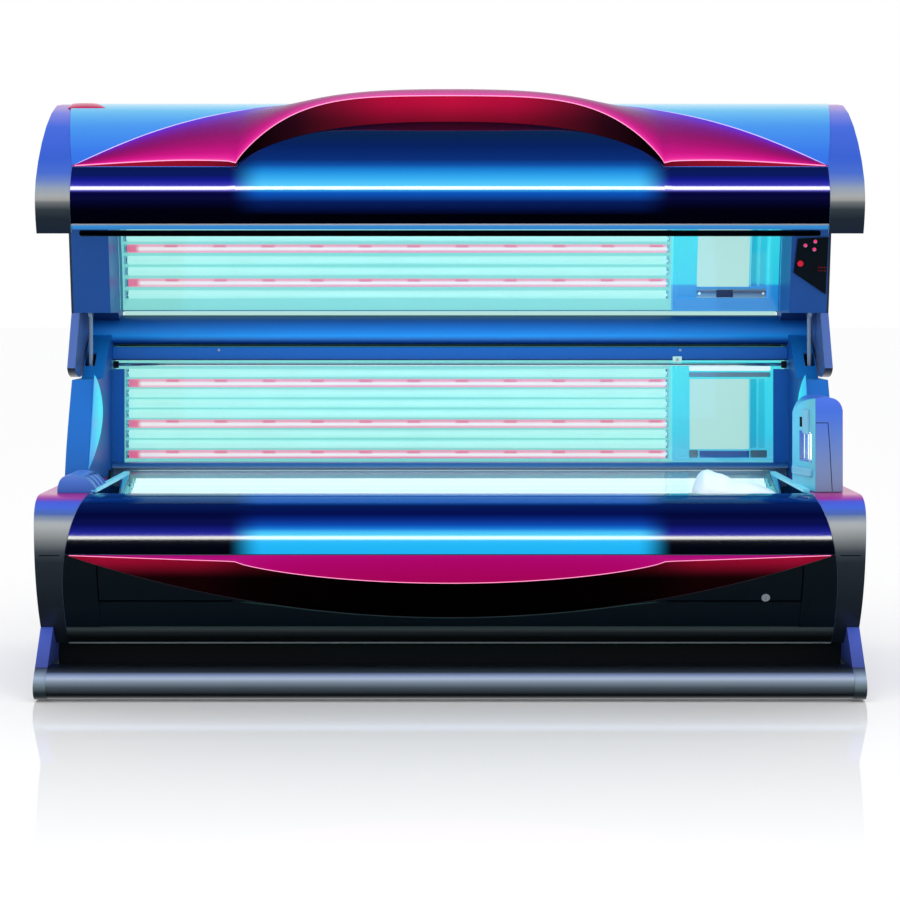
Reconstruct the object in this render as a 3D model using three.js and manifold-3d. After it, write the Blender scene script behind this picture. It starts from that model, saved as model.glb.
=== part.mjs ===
// A clamshell tanning bed: X runs along the bed, -Y is the front, Z is up, millimetres.
// The origin is on the floor, under the middle of the bed.
import * as THREE from "three";
import { mergeVertices } from "three/addons/utils/BufferGeometryUtils.js";
import Module from "manifold-3d";

const wasm = await Module();
wasm.setup();

// Overall sizes and shared clearances
const bedLength = 2280;
const bedDepth = 1100;
const gap = 0.3;
const accentSeat = 3.2;
const lensSeat = 1;
const coverWall = 5;
const acrylicWall = 5;
const reflectorWall = 2.5;
const panWall = 3;

// Heights above the floor
const floorClearance = 4;
const kickHeight = 52;
const panBottom = 12;
const railTop = 91;
const plateTop = 190;
const flapTop = 266;
const accentTop = 402;
const noseCentre = 490;
const benchTop = 562;
const sillTop = 597;
const columnTop = 866;
const crossbarBottom = 914;
const crossbarTop = 955;
const hingeHeight = 1006;
const armBottom = 1062;
const lipHeight = 1284;
const canopyNose = 1386;
const canopyTop = 1676;

// Depths from the front, the back and the hinge
const panSetback = 210;
const noseSetback = 16;
const shoulderRun = 94;
const lipSetback = 57;
const canopyNoseSetback = 32;
const crownSetback = 460;
const hingeSetback = 266;
const canopyBackReach = 168;
const tailReach = 50;
const columnReach = 499;
const columnBehind = 116;
const armReachLow = 219;
const armReachHigh = 269;
const cheekReach = 296;

// Widths taken inwards from the ends of the bed
const endWall = 6;
const basePlateWidth = 35;
const capFootWidth = 71;
const capTopWidth = 135;
const canopyCapWidth = 96;
const cheekWidth = 24;
const columnOuterInset = 28;
const columnInnerInset = 94;
const armInset = 118;
const strutInset = 46;

// Round sizes
const frontRadius = 495;
const railNoseRadius = 36;
const tubeRadius = 45;
const tubeWall = 4;
const lampRadius = 13;
const rodRadius = 6.5;
const eyeRadius = 18;
const eyeBore = 13;
const pinRadius = 5;
const fanRadius = 118;

// Housings on the end caps, the ballast and the fan
const podHeight = 266;
const podWidth = 114;
const podDepth = 183;
const podLean = 36;
const podInset = 40;
const footHousingDepth = 190;
const footHousingInset = 44;
const ballastCount = 10;
const ballastPitch = 180;
const ballastWidth = 110;
const ballastDepth = 210;
const ballastHeight = 44;
const trayEnd = 900;
const fanHeight = 480;
const fanHubRadius = 34;
const fanShaftRadius = 6;

// The gull-wing accent
const archHalf = 590;
const archFade = 760;
const archCrest = 48;
const wingBody = 9;
const wingEdge = 3;

// Lamps
const lampEnd = 680;
const lampSides = 6;
const canopyLampCount = 30;
const benchLampCount = 19;
const backLampCount = 9;
const lampPitch = 31.6;

// Places worked out from the sizes above
const half = bedLength / 2;
const front = -bedDepth / 2;
const back = bedDepth / 2;
const capFoot = half - capFootWidth;
const capShoulder = half - capTopWidth;
const canopyEdge = half - canopyCapWidth;
const cheekInner = half - cheekWidth;
const columnOuter = half - columnOuterInset;
const columnInner = half - columnInnerInset;
const armInner = half - armInset;
const strutX = half - strutInset;
const panEnd = half - basePlateWidth - gap;
const panFront = front + panSetback;
const noseY = front + noseSetback;
const hinge = { y: back - hingeSetback, z: hingeHeight };
const columnShoulder = hinge.y - columnReach;
const columnBack = hinge.y + columnBehind;
const benchEdge = capShoulder - 20;
const panelY = hinge.y - 22;
const lampStart = -(armInner - 14);

const finishes = {
  silver: { color: "#9aa3b0", roughness: 0.32, metalness: 0.7 },
  blueSilver: { color: "#6f93c4", roughness: 0.35, metalness: 0.6 },
  gloss: { color: "#05060f", roughness: 0.06, metalness: 0.1 },
  darkPanel: { color: "#0a0d12", roughness: 0.2, metalness: 0.1 },
  magenta: { color: "#b3086a", roughness: 0.12, metalness: 0.25 },
  greyTrim: { color: "#4a5058", roughness: 0.35, metalness: 0.5 },
  steel: { color: "#3b3f46", roughness: 0.5, metalness: 0.6 },
  rubber: { color: "#141414", roughness: 0.9, metalness: 0 },
  acrylic: { color: "#d8f4ff", roughness: 0.05, metalness: 0 },
  lamp: { color: "#c8f2ea", roughness: 0.25, metalness: 0 },
  reflector: { color: "#e3eef2", roughness: 0.15, metalness: 0.9 },
  chrome: { color: "#d9dde2", roughness: 0.08, metalness: 1 },
  cushion: { color: "#eef2f5", roughness: 0.6, metalness: 0 },
  red: { color: "#c0102a", roughness: 0.25, metalness: 0 },
  grey: { color: "#8a8f98", roughness: 0.4, metalness: 0 },
};

const bed = new THREE.Group();

function signedVolume(geometry) {
  const flat = geometry.index ? geometry.toNonIndexed() : geometry;
  const place = flat.getAttribute("position");
  const [a, b, c] = [new THREE.Vector3(), new THREE.Vector3(), new THREE.Vector3()];
  let sum = 0;
  for (let i = 0; i < place.count; i += 3) {
    a.fromBufferAttribute(place, i);
    b.fromBufferAttribute(place, i + 1);
    c.fromBufferAttribute(place, i + 2);
    sum += a.dot(b.cross(c));
  }
  return sum / 6;
}

// Turns every face round if the body is inside out.
function facingOut(geometry) {
  if (signedVolume(geometry) > 0) return geometry;
  const turned = geometry.index ? geometry.toNonIndexed() : geometry.clone();
  const place = turned.getAttribute("position");
  const [b, c] = [new THREE.Vector3(), new THREE.Vector3()];
  for (let i = 0; i < place.count; i += 3) {
    b.fromBufferAttribute(place, i + 1);
    c.fromBufferAttribute(place, i + 2);
    place.setXYZ(i + 1, c.x, c.y, c.z);
    place.setXYZ(i + 2, b.x, b.y, b.z);
  }
  turned.computeVertexNormals();
  return turned;
}

function piece(parent, name, geometry, finish) {
  const material = new THREE.MeshStandardMaterial(finishes[finish]);
  const mesh = new THREE.Mesh(facingOut(geometry), material);
  mesh.name = name;
  parent.add(mesh);
  return mesh;
}

function solidFrom(geometry) {
  const bare = facingOut(geometry).clone();
  bare.deleteAttribute("normal");
  bare.deleteAttribute("uv");
  const merged = mergeVertices(bare, 1e-4);
  const corners = merged.index.array;
  const kept = [];
  for (let i = 0; i < corners.length; i += 3) {
    const [p, q, r] = [corners[i], corners[i + 1], corners[i + 2]];
    if (p !== q && q !== r && r !== p) kept.push(p, q, r);
  }
  const vertProperties = new Float32Array(merged.getAttribute("position").array);
  return new wasm.Manifold(new wasm.Mesh({ numProp: 3, vertProperties, triVerts: new Uint32Array(kept) }));
}

function geometryFrom(solid) {
  const mesh = solid.getMesh();
  const geometry = new THREE.BufferGeometry();
  geometry.setAttribute("position", new THREE.BufferAttribute(new Float32Array(mesh.vertProperties), 3));
  geometry.setIndex(new THREE.BufferAttribute(new Uint32Array(mesh.triVerts), 1));
  geometry.computeVertexNormals();
  return geometry;
}

function join(body, ...others) {
  return geometryFrom(others.reduce((sum, other) => sum.add(solidFrom(other)), solidFrom(body)));
}

function cut(body, ...tools) {
  return geometryFrom(tools.reduce((rest, tool) => rest.subtract(solidFrom(tool)), solidFrom(body)));
}

function common(body, other) {
  return geometryFrom(solidFrom(body).intersect(solidFrom(other)));
}

const axisX = new THREE.Vector3(1, 0, 0);
const axisY = new THREE.Vector3(0, 1, 0);
const axisZ = new THREE.Vector3(0, 0, 1);

// A (Y, Z) outline extruded from x0 to x1.
function alongX(shape, x0, x1, curveSegments = 8) {
  const geometry = new THREE.ExtrudeGeometry(shape, { depth: x1 - x0, bevelEnabled: false, curveSegments });
  geometry.applyMatrix4(new THREE.Matrix4().makeBasis(axisY, axisZ, axisX));
  return geometry.translate(x0, 0, 0);
}

// An (X, Z) outline extruded from y0 to y1.
function alongY(shape, y0, y1, curveSegments = 8) {
  const geometry = new THREE.ExtrudeGeometry(shape, { depth: y1 - y0, bevelEnabled: false, curveSegments });
  geometry.applyMatrix4(new THREE.Matrix4().makeBasis(axisX, axisZ, axisY.clone().negate()));
  return geometry.translate(0, y1, 0);
}

// An (X, Y) outline extruded from z0 to z1.
function alongZ(shape, z0, z1, curveSegments = 8) {
  const geometry = new THREE.ExtrudeGeometry(shape, { depth: z1 - z0, bevelEnabled: false, curveSegments });
  return geometry.translate(0, 0, z0);
}

function outline(points) {
  return new THREE.Shape(points.map(([a, b]) => new THREE.Vector2(a, b)));
}

function roundedRect(a0, a1, b0, b1, radius) {
  const shape = new THREE.Shape();
  shape.moveTo(a0 + radius, b0);
  shape.lineTo(a1 - radius, b0);
  shape.absarc(a1 - radius, b0 + radius, radius, -Math.PI / 2, 0, false);
  shape.absarc(a1 - radius, b1 - radius, radius, 0, Math.PI / 2, false);
  shape.absarc(a0 + radius, b1 - radius, radius, Math.PI / 2, Math.PI, false);
  shape.absarc(a0 + radius, b0 + radius, radius, Math.PI, Math.PI * 1.5, false);
  return shape;
}

function box(x0, x1, y0, y1, z0, z1) {
  const geometry = new THREE.BoxGeometry(x1 - x0, y1 - y0, z1 - z0);
  return geometry.translate((x0 + x1) / 2, (y0 + y1) / 2, (z0 + z1) / 2);
}

function rodAlongX(radius, x0, x1, y, z, sides = 16) {
  const geometry = new THREE.CylinderGeometry(radius, radius, x1 - x0, sides);
  return geometry.rotateZ(Math.PI / 2).translate((x0 + x1) / 2, y, z);
}

function rodAlongY(radius, y0, y1, x, z, sides = 16) {
  const geometry = new THREE.CylinderGeometry(radius, radius, y1 - y0, sides);
  return geometry.translate(x, (y0 + y1) / 2, z);
}

// A profile of [radius, height] pairs turned about a vertical axis.
function turned(profile, x, y, sides = 14) {
  const points = profile.map(([r, h]) => new THREE.Vector2(r, h));
  return new THREE.LatheGeometry(points, sides).rotateX(Math.PI / 2).translate(x, y, 0);
}

// The two X limits of a piece on one end of the bed.
function onSide(side, x0, x1) {
  return side > 0 ? [x0, x1] : [-x1, -x0];
}

function range(count) {
  return [...Array(count).keys()];
}

// A closed body between two grids of points, row by row.
function thickPatch(outer, inner) {
  const rows = outer.length;
  const columns = outer[0].length;
  const points = [...outer.flat(), ...inner.flat()];
  const under = rows * columns;
  const at = (i, j) => i * columns + j;
  const index = [];
  const quad = (a, b, c, d) => index.push(a, b, c, a, c, d);
  const [lastRow, lastColumn] = [rows - 1, columns - 1];
  for (let i = 0; i < lastRow; i++) {
    for (let j = 0; j < lastColumn; j++) {
      quad(at(i, j), at(i + 1, j), at(i + 1, j + 1), at(i, j + 1));
      quad(under + at(i, j), under + at(i, j + 1), under + at(i + 1, j + 1), under + at(i + 1, j));
    }
    const [near, far] = [at(i, lastColumn), at(i + 1, lastColumn)];
    quad(at(i + 1, 0), at(i, 0), under + at(i, 0), under + at(i + 1, 0));
    quad(near, far, under + far, under + near);
  }
  for (let j = 0; j < lastColumn; j++) {
    quad(at(0, j), at(0, j + 1), under + at(0, j + 1), under + at(0, j));
    quad(at(lastRow, j + 1), at(lastRow, j), under + at(lastRow, j), under + at(lastRow, j + 1));
  }
  const geometry = new THREE.BufferGeometry().setFromPoints(points);
  geometry.setIndex(index);
  return facingOut(geometry);
}

// A point of a profile, moved out along its normal.
function spot(x, station, proud) {
  return new THREE.Vector3(x, station.y + station.ny * proud, station.z + station.nz * proud);
}

// Stations along a chain of (Y, Z) curves; the normal is to the left of the way along.
function stationAt(curves, u) {
  const part = Math.min(Math.floor(u), curves.length - 1);
  const point = curves[part].getPoint(u - part);
  const tangent = curves[part].getTangent(u - part);
  return { y: point.x, z: point.y, ny: -tangent.y, nz: tangent.x, u };
}

function stations(curves, from, to, count) {
  return range(count).map((i) => stationAt(curves, from + ((to - from) * i) / (count - 1)));
}

// A sheet that follows stations between two X limits, from one height over the profile to another.
function sheet(list, low, high, xLeft, xRight) {
  const limit = (x, station) => (typeof x === "function" ? x(station) : x);
  const row = (s, proud) => [spot(limit(xLeft, s), s, proud), spot(limit(xRight, s), s, proud)];
  const grid = (proud) => list.map((s) => row(s, proud));
  return thickPatch(grid(high), grid(low));
}

function bezier(y0, z0, y1, z1, y2, z2, y3, z3) {
  const ends = [[y0, z0], [y1, z1], [y2, z2], [y3, z3]].map(([y, z]) => new THREE.Vector2(y, z));
  return new THREE.CubicBezierCurve(...ends);
}

function outlinePoints(list, proud = 0) {
  return list.map((s) => [s.y + s.ny * proud, s.z + s.nz * proud]);
}

// The lower front is one large arc that leads into a small round nose and the flat bench shoulder.
const arcCentre = { y: noseY + frontRadius, z: noseCentre };

function frontStation(z) {
  const drop = (z - arcCentre.z) / frontRadius;
  const reach = -Math.sqrt(1 - drop * drop);
  return { y: arcCentre.y + frontRadius * reach, z, ny: reach, nz: drop };
}

function frontStations(z0, z1, count) {
  return range(count).map((i) => frontStation(z0 + ((z1 - z0) * i) / (count - 1)));
}

const shoulderY = noseY + shoulderRun;
const noseCurve = [
  bezier(noseY, noseCentre, noseY, noseCentre + 48, noseY + 30, benchTop, shoulderY, benchTop),
];

// The inner edge of a lower end cap sweeps inwards as it climbs to the bench shoulder.
function capEdge(z) {
  const climb = (z - plateTop) / (benchTop - plateTop);
  return capFoot - (capFoot - capShoulder) * Math.max(0, climb) ** 3;
}

function makeBase() {
  const base = new THREE.Group();
  const hollow = box(
    -panEnd + panWall, panEnd - panWall,
    panFront + panWall, back - 2 * panWall,
    panBottom + panWall, plateTop + 1,
  );
  const pan = box(-panEnd, panEnd, panFront, back - panWall, panBottom, plateTop);
  piece(base, "base_pan", cut(pan, hollow), "steel");

  const rail = new THREE.Shape();
  const railBack = front + 98;
  const railMiddle = (railTop + floorClearance) / 2;
  rail.moveTo(panFront - gap, panBottom + 2);
  rail.lineTo(railBack, panBottom + 2);
  rail.lineTo(railBack, railTop);
  rail.lineTo(front + 50, railTop);
  rail.bezierCurveTo(front + 14, railTop, front + 1, railMiddle + 25, front + 1, railMiddle);
  rail.bezierCurveTo(front + 1, railMiddle - 25, front + 14, floorClearance, front + 45, floorClearance);
  rail.lineTo(panFront - gap, floorClearance);
  const railWall = 5;
  const boreLow = floorClearance + 2 * railWall;
  const railBore = roundedRect(front + 2.6 * railWall, railBack - railWall, boreLow, railTop - railWall, 24);
  const railBody = cut(alongX(rail, -panEnd, panEnd), alongX(railBore, -half, half, 4));
  piece(base, "front_rail", railBody, "silver");

  const plateFront = frontStation(plateTop).y;
  const nose = { y: front + railNoseRadius, z: floorClearance + railNoseRadius };
  const reach = Math.hypot(plateFront - nose.y, plateTop - nose.z);
  const lean = Math.atan2(plateTop - nose.z, plateFront - nose.y) + Math.acos(railNoseRadius / reach);
  const plate = new THREE.Shape();
  plate.moveTo(back, floorClearance);
  plate.lineTo(back, plateTop);
  plate.lineTo(plateFront, plateTop);
  plate.absarc(nose.y, nose.z, railNoseRadius, lean, Math.PI * 1.5, false);
  for (const [side, name] of [[-1, "left_base_plate"], [1, "right_base_plate"]]) {
    piece(base, name, alongX(plate, ...onSide(side, half - basePlateWidth, half)), "blueSilver");
  }

  const footInset = 150;
  const places = { front_left: [-1, panFront + 70], front_right: [1, panFront + 70],
    rear_left: [-1, back - 120], rear_right: [1, back - 120] };
  const footTop = panBottom - gap;
  for (const [place, [side, y]] of Object.entries(places)) {
    const profile = [[0, 0], [34, 0], [38, 3], [38, 7], [16, 8.5], [16, footTop], [0, footTop]];
    piece(base, `foot_${place}`, turned(profile, side * (half - footInset), y), "rubber");
  }
  return base;
}

// How far the lens-shaped accent has swelled at a place along the bed: 0 at its tips, 1 in the middle.
const accentTip = capFoot - 20;
const accentDrop = 180;
const creaseDrop = 66;
const creaseEdge = 10;

function lensSwell(x) {
  return Math.max(0, 1 - (x / accentTip) ** 2);
}

// The crease keeps close under the top edge along the tips and drops in an arch between them.
function creaseLine(x) {
  const edge = Math.min(1, 2.3 * (1 - Math.abs(x) / accentTip));
  const arch = Math.max(0, 1 - (x / archHalf) ** 2) ** 0.75;
  return accentTop - 1 - creaseEdge * edge - (creaseDrop - creaseEdge - 1) * arch;
}

function accentFoot(x) {
  return accentTop - 2 - (accentDrop - 2) * lensSwell(x);
}

function makeLowerFront() {
  const lower = new THREE.Group();
  const panelEnd = capFoot - 99;
  const coverBottom = accentTop + 2;
  const inEdge = (s) => capEdge(s.z) - gap;
  const outEdge = (s) => -capEdge(s.z) + gap;
  const nose = [
    ...frontStations(coverBottom, noseCentre - 12, 5),
    ...stations(noseCurve, 0, 1, 9),
    { y: shoulderY + 14, z: benchTop, ny: 0, nz: 1 },
  ];
  piece(lower, "lower_front_cover", sheet(nose, -coverWall, 0, outEdge, inEdge), "gloss");

  const lockX = panelEnd - 99;
  const lockHeight = flapTop + 14;
  const lockSeat = frontStation(lockHeight);
  const lockRadius = 9;
  const lockTurn = Math.atan2(lockSeat.nz, -lockSeat.ny);
  const lockPlace = (geometry) => geometry.rotateX(-lockTurn).translate(lockX, lockSeat.y, lockSeat.z);
  const upper = frontStations(flapTop + gap * 2, accentTop, 9);
  const panel = sheet(upper, -coverWall, 0, -panelEnd + gap, panelEnd - gap);
  const lockBore = lockPlace(new THREE.CylinderGeometry(lockRadius + gap, lockRadius + gap, 60, 14));
  piece(lower, "lower_front_panel", cut(panel, lockBore), "darkPanel");

  const corner = frontStations(plateTop + gap, accentTop, 11);
  piece(lower, "left_corner_panel", sheet(corner, -coverWall, 0, outEdge, -panelEnd - gap), "darkPanel");
  piece(lower, "right_corner_panel", sheet(corner, -coverWall, 0, panelEnd + gap, inEdge), "darkPanel");

  const trim = frontStations(plateTop - kickHeight, plateTop - gap, 5);
  piece(lower, "kick_trim", sheet(trim, -12, 1, outEdge, inEdge), "greyTrim");

  // The accent swells to a crease: a bright upper face over a face that turns under.
  const across = range(27).map((i) => accentTip * Math.sin(((i - 13) / 13) * (Math.PI / 2)) * 0.999);
  const shares = [0, 0.4, 0.75, 1, 1.25, 1.5, 1.75, 2];
  const lens = (height) => across.map((x) => shares.map((share) => {
    const crease = creaseLine(x);
    const foot = accentFoot(x);
    const z = share <= 1
      ? accentTop + (crease - accentTop) * share
      : crease + (foot - crease) * (share - 1);
    return spot(x, frontStation(z), height(x, share));
  }));
  const creaseHeight = (x) => 2 + 30 * lensSwell(x);
  const outerHeight = (x, share) => (share <= 1
    ? 2 + (creaseHeight(x) - 2) * share ** 0.8
    : 2 + (creaseHeight(x) - 2) * (2 - share) ** 0.75);
  piece(lower, "lower_accent", thickPatch(lens(outerHeight), lens(() => lensSeat)), "magenta");

  // The service flap stops short of the accent's lower edge and turns about its own foot.
  const columns = range(21).map((i) => (panelEnd - gap) * ((i - 10) / 10));
  const flap = (proud) => columns.map((x) => range(5).map((i) => {
    const top = Math.min(flapTop, accentFoot(x) - 5);
    const z = plateTop + 2 + (top - plateTop - 2) * (i / 4);
    return spot(x, frontStation(z), proud);
  }));
  piece(lower, "service_flap", thickPatch(flap(0), flap(-coverWall)), "darkPanel");

  // The key lock's axis follows the panel's normal; its cam hangs behind the panel.
  const barrel = new THREE.CylinderGeometry(lockRadius, lockRadius, 18, 14).translate(0, -6, 0);
  const rim = new THREE.CylinderGeometry(lockRadius + 3, lockRadius + 3, 2, 14).translate(0, 1 + gap, 0);
  const cam = box(-6, 6, -15, -12, -6, 34);
  const slot = box(-1.2, 1.2, 1, 6, -6, 6);
  const lock = cut(join(barrel, rim, cam), slot).rotateX(Math.PI);
  piece(lower, "lock_barrel", lockPlace(lock), "chrome");

  const capTopBack = hinge.y - 144;
  for (const [side, name] of [[-1, "left_lower_end_cap"], [1, "right_lower_end_cap"]]) {
    const list = [
      ...frontStations(plateTop - 50, noseCentre - 12, 12),
      ...stations(noseCurve, 0, 1, 9),
      { y: capTopBack, z: benchTop, ny: 0, nz: 1 },
    ];
    const edge = (s) => side * (capEdge(s.z) + gap);
    const skin = sheet(list, -coverWall, 0, edge, side * half);
    const wallPoints = [...outlinePoints(list), [columnBack, benchTop], [columnBack, plateTop]];
    const wall = alongX(outline(wallPoints), ...onSide(side, half - endWall, half));
    const [x0, x1] = onSide(side, half - basePlateWidth - gap, half + 1);
    const plateRoom = box(x0, x1, front, back, 0, plateTop + gap);
    piece(lower, name, cut(join(skin, wall), plateRoom), "silver");
  }
  return lower;
}

// The lying surface is a shallow dish from the front edge to the sill.
const benchFront = shoulderY + 18;
const benchBack = panelY - 27;
const benchSag = 76;
const benchCurve = [
  bezier(
    benchFront, benchTop - 6,
    benchFront + 200, benchTop - benchSag,
    benchBack - 220, benchTop - benchSag,
    benchBack, benchTop + 13,
  ),
];

// Parallel tubes held at both ends in lamp holder strips that follow the same curve.
function lampBank(list, radius, xLeft, xRight, holderLow, holderHigh, holderList) {
  const holder = 12;
  const tubes = list.map((s) => rodAlongX(radius, xLeft + 4, xRight - 4, s.y, s.z, lampSides));
  const ends = [[xLeft, xLeft + holder], [xRight - holder, xRight]];
  const strips = ends.map(([x0, x1]) => sheet(holderList, holderLow, holderHigh, x0, x1));
  return join(...strips, ...tubes);
}

function makeBench() {
  const bench = new THREE.Group();
  const list = stations(benchCurve, 0, 1, 15);
  piece(bench, "bench_acrylic", sheet(list, -acrylicWall, 0, -benchEdge + gap, benchEdge - gap), "acrylic");

  const depth = 60;
  for (const [side, name] of [[-1, "left_bench_rail"], [1, "right_bench_rail"]]) {
    const [x0, x1] = onSide(side, benchEdge, capShoulder - gap);
    piece(bench, name, sheet(list, -depth + gap, 2, x0, x1), "chrome");
  }
  const mirror = sheet(list, -depth - reflectorWall, -depth, -capShoulder, capShoulder);
  piece(bench, "bench_reflector", mirror, "reflector");

  const lampDepth = 32;
  const lamps = stations(benchCurve, 0.04, 0.96, benchLampCount).map((s) => ({
    y: s.y - s.ny * lampDepth,
    z: s.z - s.nz * lampDepth,
  }));
  const holders = stations(benchCurve, 0.01, 0.99, 15);
  const bank = lampBank(lamps, lampRadius, -benchEdge + 8, benchEdge - 8, -depth + gap, -18, holders);
  piece(bench, "bench_lamp_bank", bank, "lamp");

  const cushion = stations(benchCurve, 0.16, 0.5, 9);
  piece(bench, "head_cushion", sheet(cushion, gap, 46, benchEdge - 262, benchEdge - 22), "cushion");
  return bench;
}

function makeBack() {
  const rear = new THREE.Group();
  const frameEnd = columnInner - gap;
  const crossbar = roundedRect(panelY - 8, hinge.y + 16, crossbarBottom, crossbarTop, 6);
  piece(rear, "crossbar", alongX(crossbar, -frameEnd, frameEnd, 3), "blueSilver");

  const sill = new THREE.Shape();
  sill.moveTo(panelY + 2, benchTop - 40);
  sill.lineTo(hinge.y + 16, benchTop - 40);
  sill.lineTo(hinge.y + 16, sillTop);
  sill.lineTo(panelY - 6, sillTop);
  sill.bezierCurveTo(panelY - 16, sillTop, panelY - 24, sillTop - 6, panelY - 24, benchTop + 18);
  sill.lineTo(panelY + 2, benchTop + 16);
  piece(rear, "back_sill", alongX(sill, -frameEnd, frameEnd, 5), "blueSilver");

  const sheetEnd = columnInner - 20;
  const glass = box(-sheetEnd, sheetEnd, panelY, panelY + acrylicWall, sillTop + gap, crossbarBottom - gap);
  piece(rear, "back_acrylic", glass, "acrylic");

  const reflectorY = hinge.y + 32;
  const mirror = box(-frameEnd, frameEnd, reflectorY, reflectorY + reflectorWall, sillTop - 40, crossbarTop);
  piece(rear, "back_reflector", mirror, "reflector");

  const lampY = hinge.y + 4;
  const lowest = sillTop + 24;
  const lamps = range(backLampCount).map((i) => ({ y: lampY, z: lowest + i * lampPitch }));
  const holder = [{ y: reflectorY - gap, z: sillTop + 3, ny: -1, nz: 0 },
    { y: reflectorY - gap, z: crossbarBottom - 3, ny: -1, nz: 0 }];
  const bank = lampBank(lamps, lampRadius, lampStart, lampEnd, 0, 42, holder);
  piece(rear, "back_lamp_bank", bank, "lamp");

  const rodY = panelY - 11;
  const rodZ = crossbarBottom - 13;
  const clampAt = columnInner - 12;
  const clamps = [-clampAt, clampAt].map((x) => rodAlongX(10.5, x - 7, x + 7, rodY, rodZ));
  piece(rear, "acrylic_rod", join(rodAlongX(5, -frameEnd, frameEnd, rodY, rodZ, 12), ...clamps), "chrome");

  // The shoulder tanner is a shallow tray with flared sides.
  const unit = { x0: lampEnd + 10, x1: sheetEnd, y0: panelY + acrylicWall + gap, y1: reflectorY - gap };
  const trayLow = sillTop + 4;
  const trayHigh = crossbarBottom - 4;
  const flare = 46;
  const rim = 10;
  const dish = outline([
    [unit.x0 + rim, unit.y0 - 1], [unit.x1 - rim, unit.y0 - 1],
    [unit.x1 - rim - flare, unit.y1 - rim], [unit.x0 + rim + flare / 3, unit.y1 - rim],
  ]);
  const tray = cut(
    box(unit.x0, unit.x1, unit.y0, unit.y1, trayLow, trayHigh),
    alongZ(dish, trayLow + rim, trayHigh - rim),
  );
  piece(rear, "shoulder_unit", tray, "reflector");

  const strut = strutPlaces();
  const cradle = tubeRadius + gap;
  const column = new THREE.Shape();
  const columnFoot = hinge.y - 143;
  column.moveTo(columnFoot, plateTop + gap);
  column.lineTo(columnBack, plateTop + gap);
  column.lineTo(columnBack, hinge.z - 46);
  column.lineTo(hinge.y + cradle + 16, hinge.z - 6);
  column.absarc(hinge.y, hinge.z, cradle, -0.12, -Math.PI + 0.3, true);
  column.lineTo(hinge.y - 94, hinge.z - 41);
  column.lineTo(hinge.y - 209, columnTop);
  const brow = columnShoulder + 125;
  column.lineTo(brow, columnTop);
  column.bezierCurveTo(
    brow - 46, columnTop - 90,
    columnShoulder + 19, columnTop - 190,
    columnShoulder, benchTop + gap,
  );
  column.lineTo(columnFoot, benchTop + gap);
  for (const [side, name] of [[-1, "left_column"], [1, "right_column"]]) {
    const [w0, w1] = onSide(side, strutX - 15, strutX + 15);
    const well = box(w0, w1, strut.rodY - 24, strut.rodY + 24, strut.wellFloor, hinge.z);
    const post = alongX(column, ...onSide(side, columnInner, columnOuter), 20);
    piece(rear, name, cut(post, well), "blueSilver");
  }
  return rear;
}

// The strut's upper pin rides on the canopy arm; its path about the hinge sets the rod's place.
function strutPlaces() {
  const pin = { y: hinge.y - 138, z: armBottom + 4 };
  const radius = Math.hypot(pin.y - hinge.y, pin.z - hinge.z);
  const rodY = hinge.y - (radius + hinge.y - pin.y) / 2;
  return { pin, rodY, wellFloor: columnTop - 258, cylinderTop: columnTop - 26 };
}

function makeStruts() {
  const struts = new THREE.Group();
  const { pin, rodY, wellFloor, cylinderTop } = strutPlaces();
  const bottom = wellFloor + gap;
  const bore = rodRadius + 0.5;
  const rodFoot = cylinderTop - 70;
  for (const [side, word] of [[-1, "left"], [1, "right"]]) {
    const x = side * strutX;
    const cylinder = [
      [0, bottom], [13, bottom], [13, cylinderTop - 3], [11, cylinderTop],
      [bore, cylinderTop], [bore, bottom + 14], [0, bottom + 14],
    ];
    piece(struts, `${word}_strut_cylinder`, turned(cylinder, x, rodY), "steel");
    const eye = new THREE.Shape();
    eye.absarc(rodY, pin.z, eyeRadius, 0, Math.PI * 2, false);
    const hole = new THREE.Path();
    hole.absarc(rodY, pin.z, eyeBore, 0, Math.PI * 2, true);
    eye.holes.push(hole);
    const ring = alongX(eye, x - 6, x + 6, 12);
    const rod = turned([[0, rodFoot], [rodRadius, rodFoot], [rodRadius, pin.z - eyeBore - 2],
      [0, pin.z - eyeBore - 2]], x, rodY);
    piece(struts, `${word}_strut_rod`, join(ring, rod), "chrome");
  }
  return struts;
}

// The canopy's outer line runs from its lip round the nose, over the top and down to the hinge.
const lipY = front + lipSetback;
const canopyNoseY = front + canopyNoseSetback;
const crownY = front + crownSetback;
const canopyBackY = hinge.y + canopyBackReach;
const tailY = hinge.y + tailReach;
const tailZ = armBottom + 2;
const canopyBackZ = canopyNose - 96;
const canopyOuter = [
  bezier(lipY, lipHeight, lipY - 13, lipHeight + 26, canopyNoseY, canopyNose - 41, canopyNoseY, canopyNose),
  bezier(canopyNoseY, canopyNose, canopyNoseY, canopyNose + 94, crownY - 210, canopyTop, crownY, canopyTop),
  bezier(
    crownY, canopyTop,
    crownY + 290, canopyTop,
    canopyBackY, canopyBackZ + 230,
    canopyBackY, canopyBackZ,
  ),
  bezier(canopyBackY, canopyBackZ, canopyBackY, canopyBackZ - 110, tailY + 68, tailZ + 22, tailY, tailZ),
];

// The clear inner arch, front to back.
const archFrontY = lipY + 25;
const archFrontZ = lipHeight + 32;
const archCrownY = crownY - 20;
const archCrownZ = canopyTop - 131;
const archBackY = hinge.y - 34;
const archBackZ = armBottom + 4;
const canopyInner = [
  bezier(
    archFrontY, archFrontZ,
    archFrontY + 28, archFrontZ + 124,
    archCrownY - 190, archCrownZ,
    archCrownY, archCrownZ,
  ),
  bezier(
    archCrownY, archCrownZ,
    archCrownY + 200, archCrownZ,
    archBackY - 15, archBackZ + 264,
    archBackY, archBackZ,
  ),
];

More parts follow.
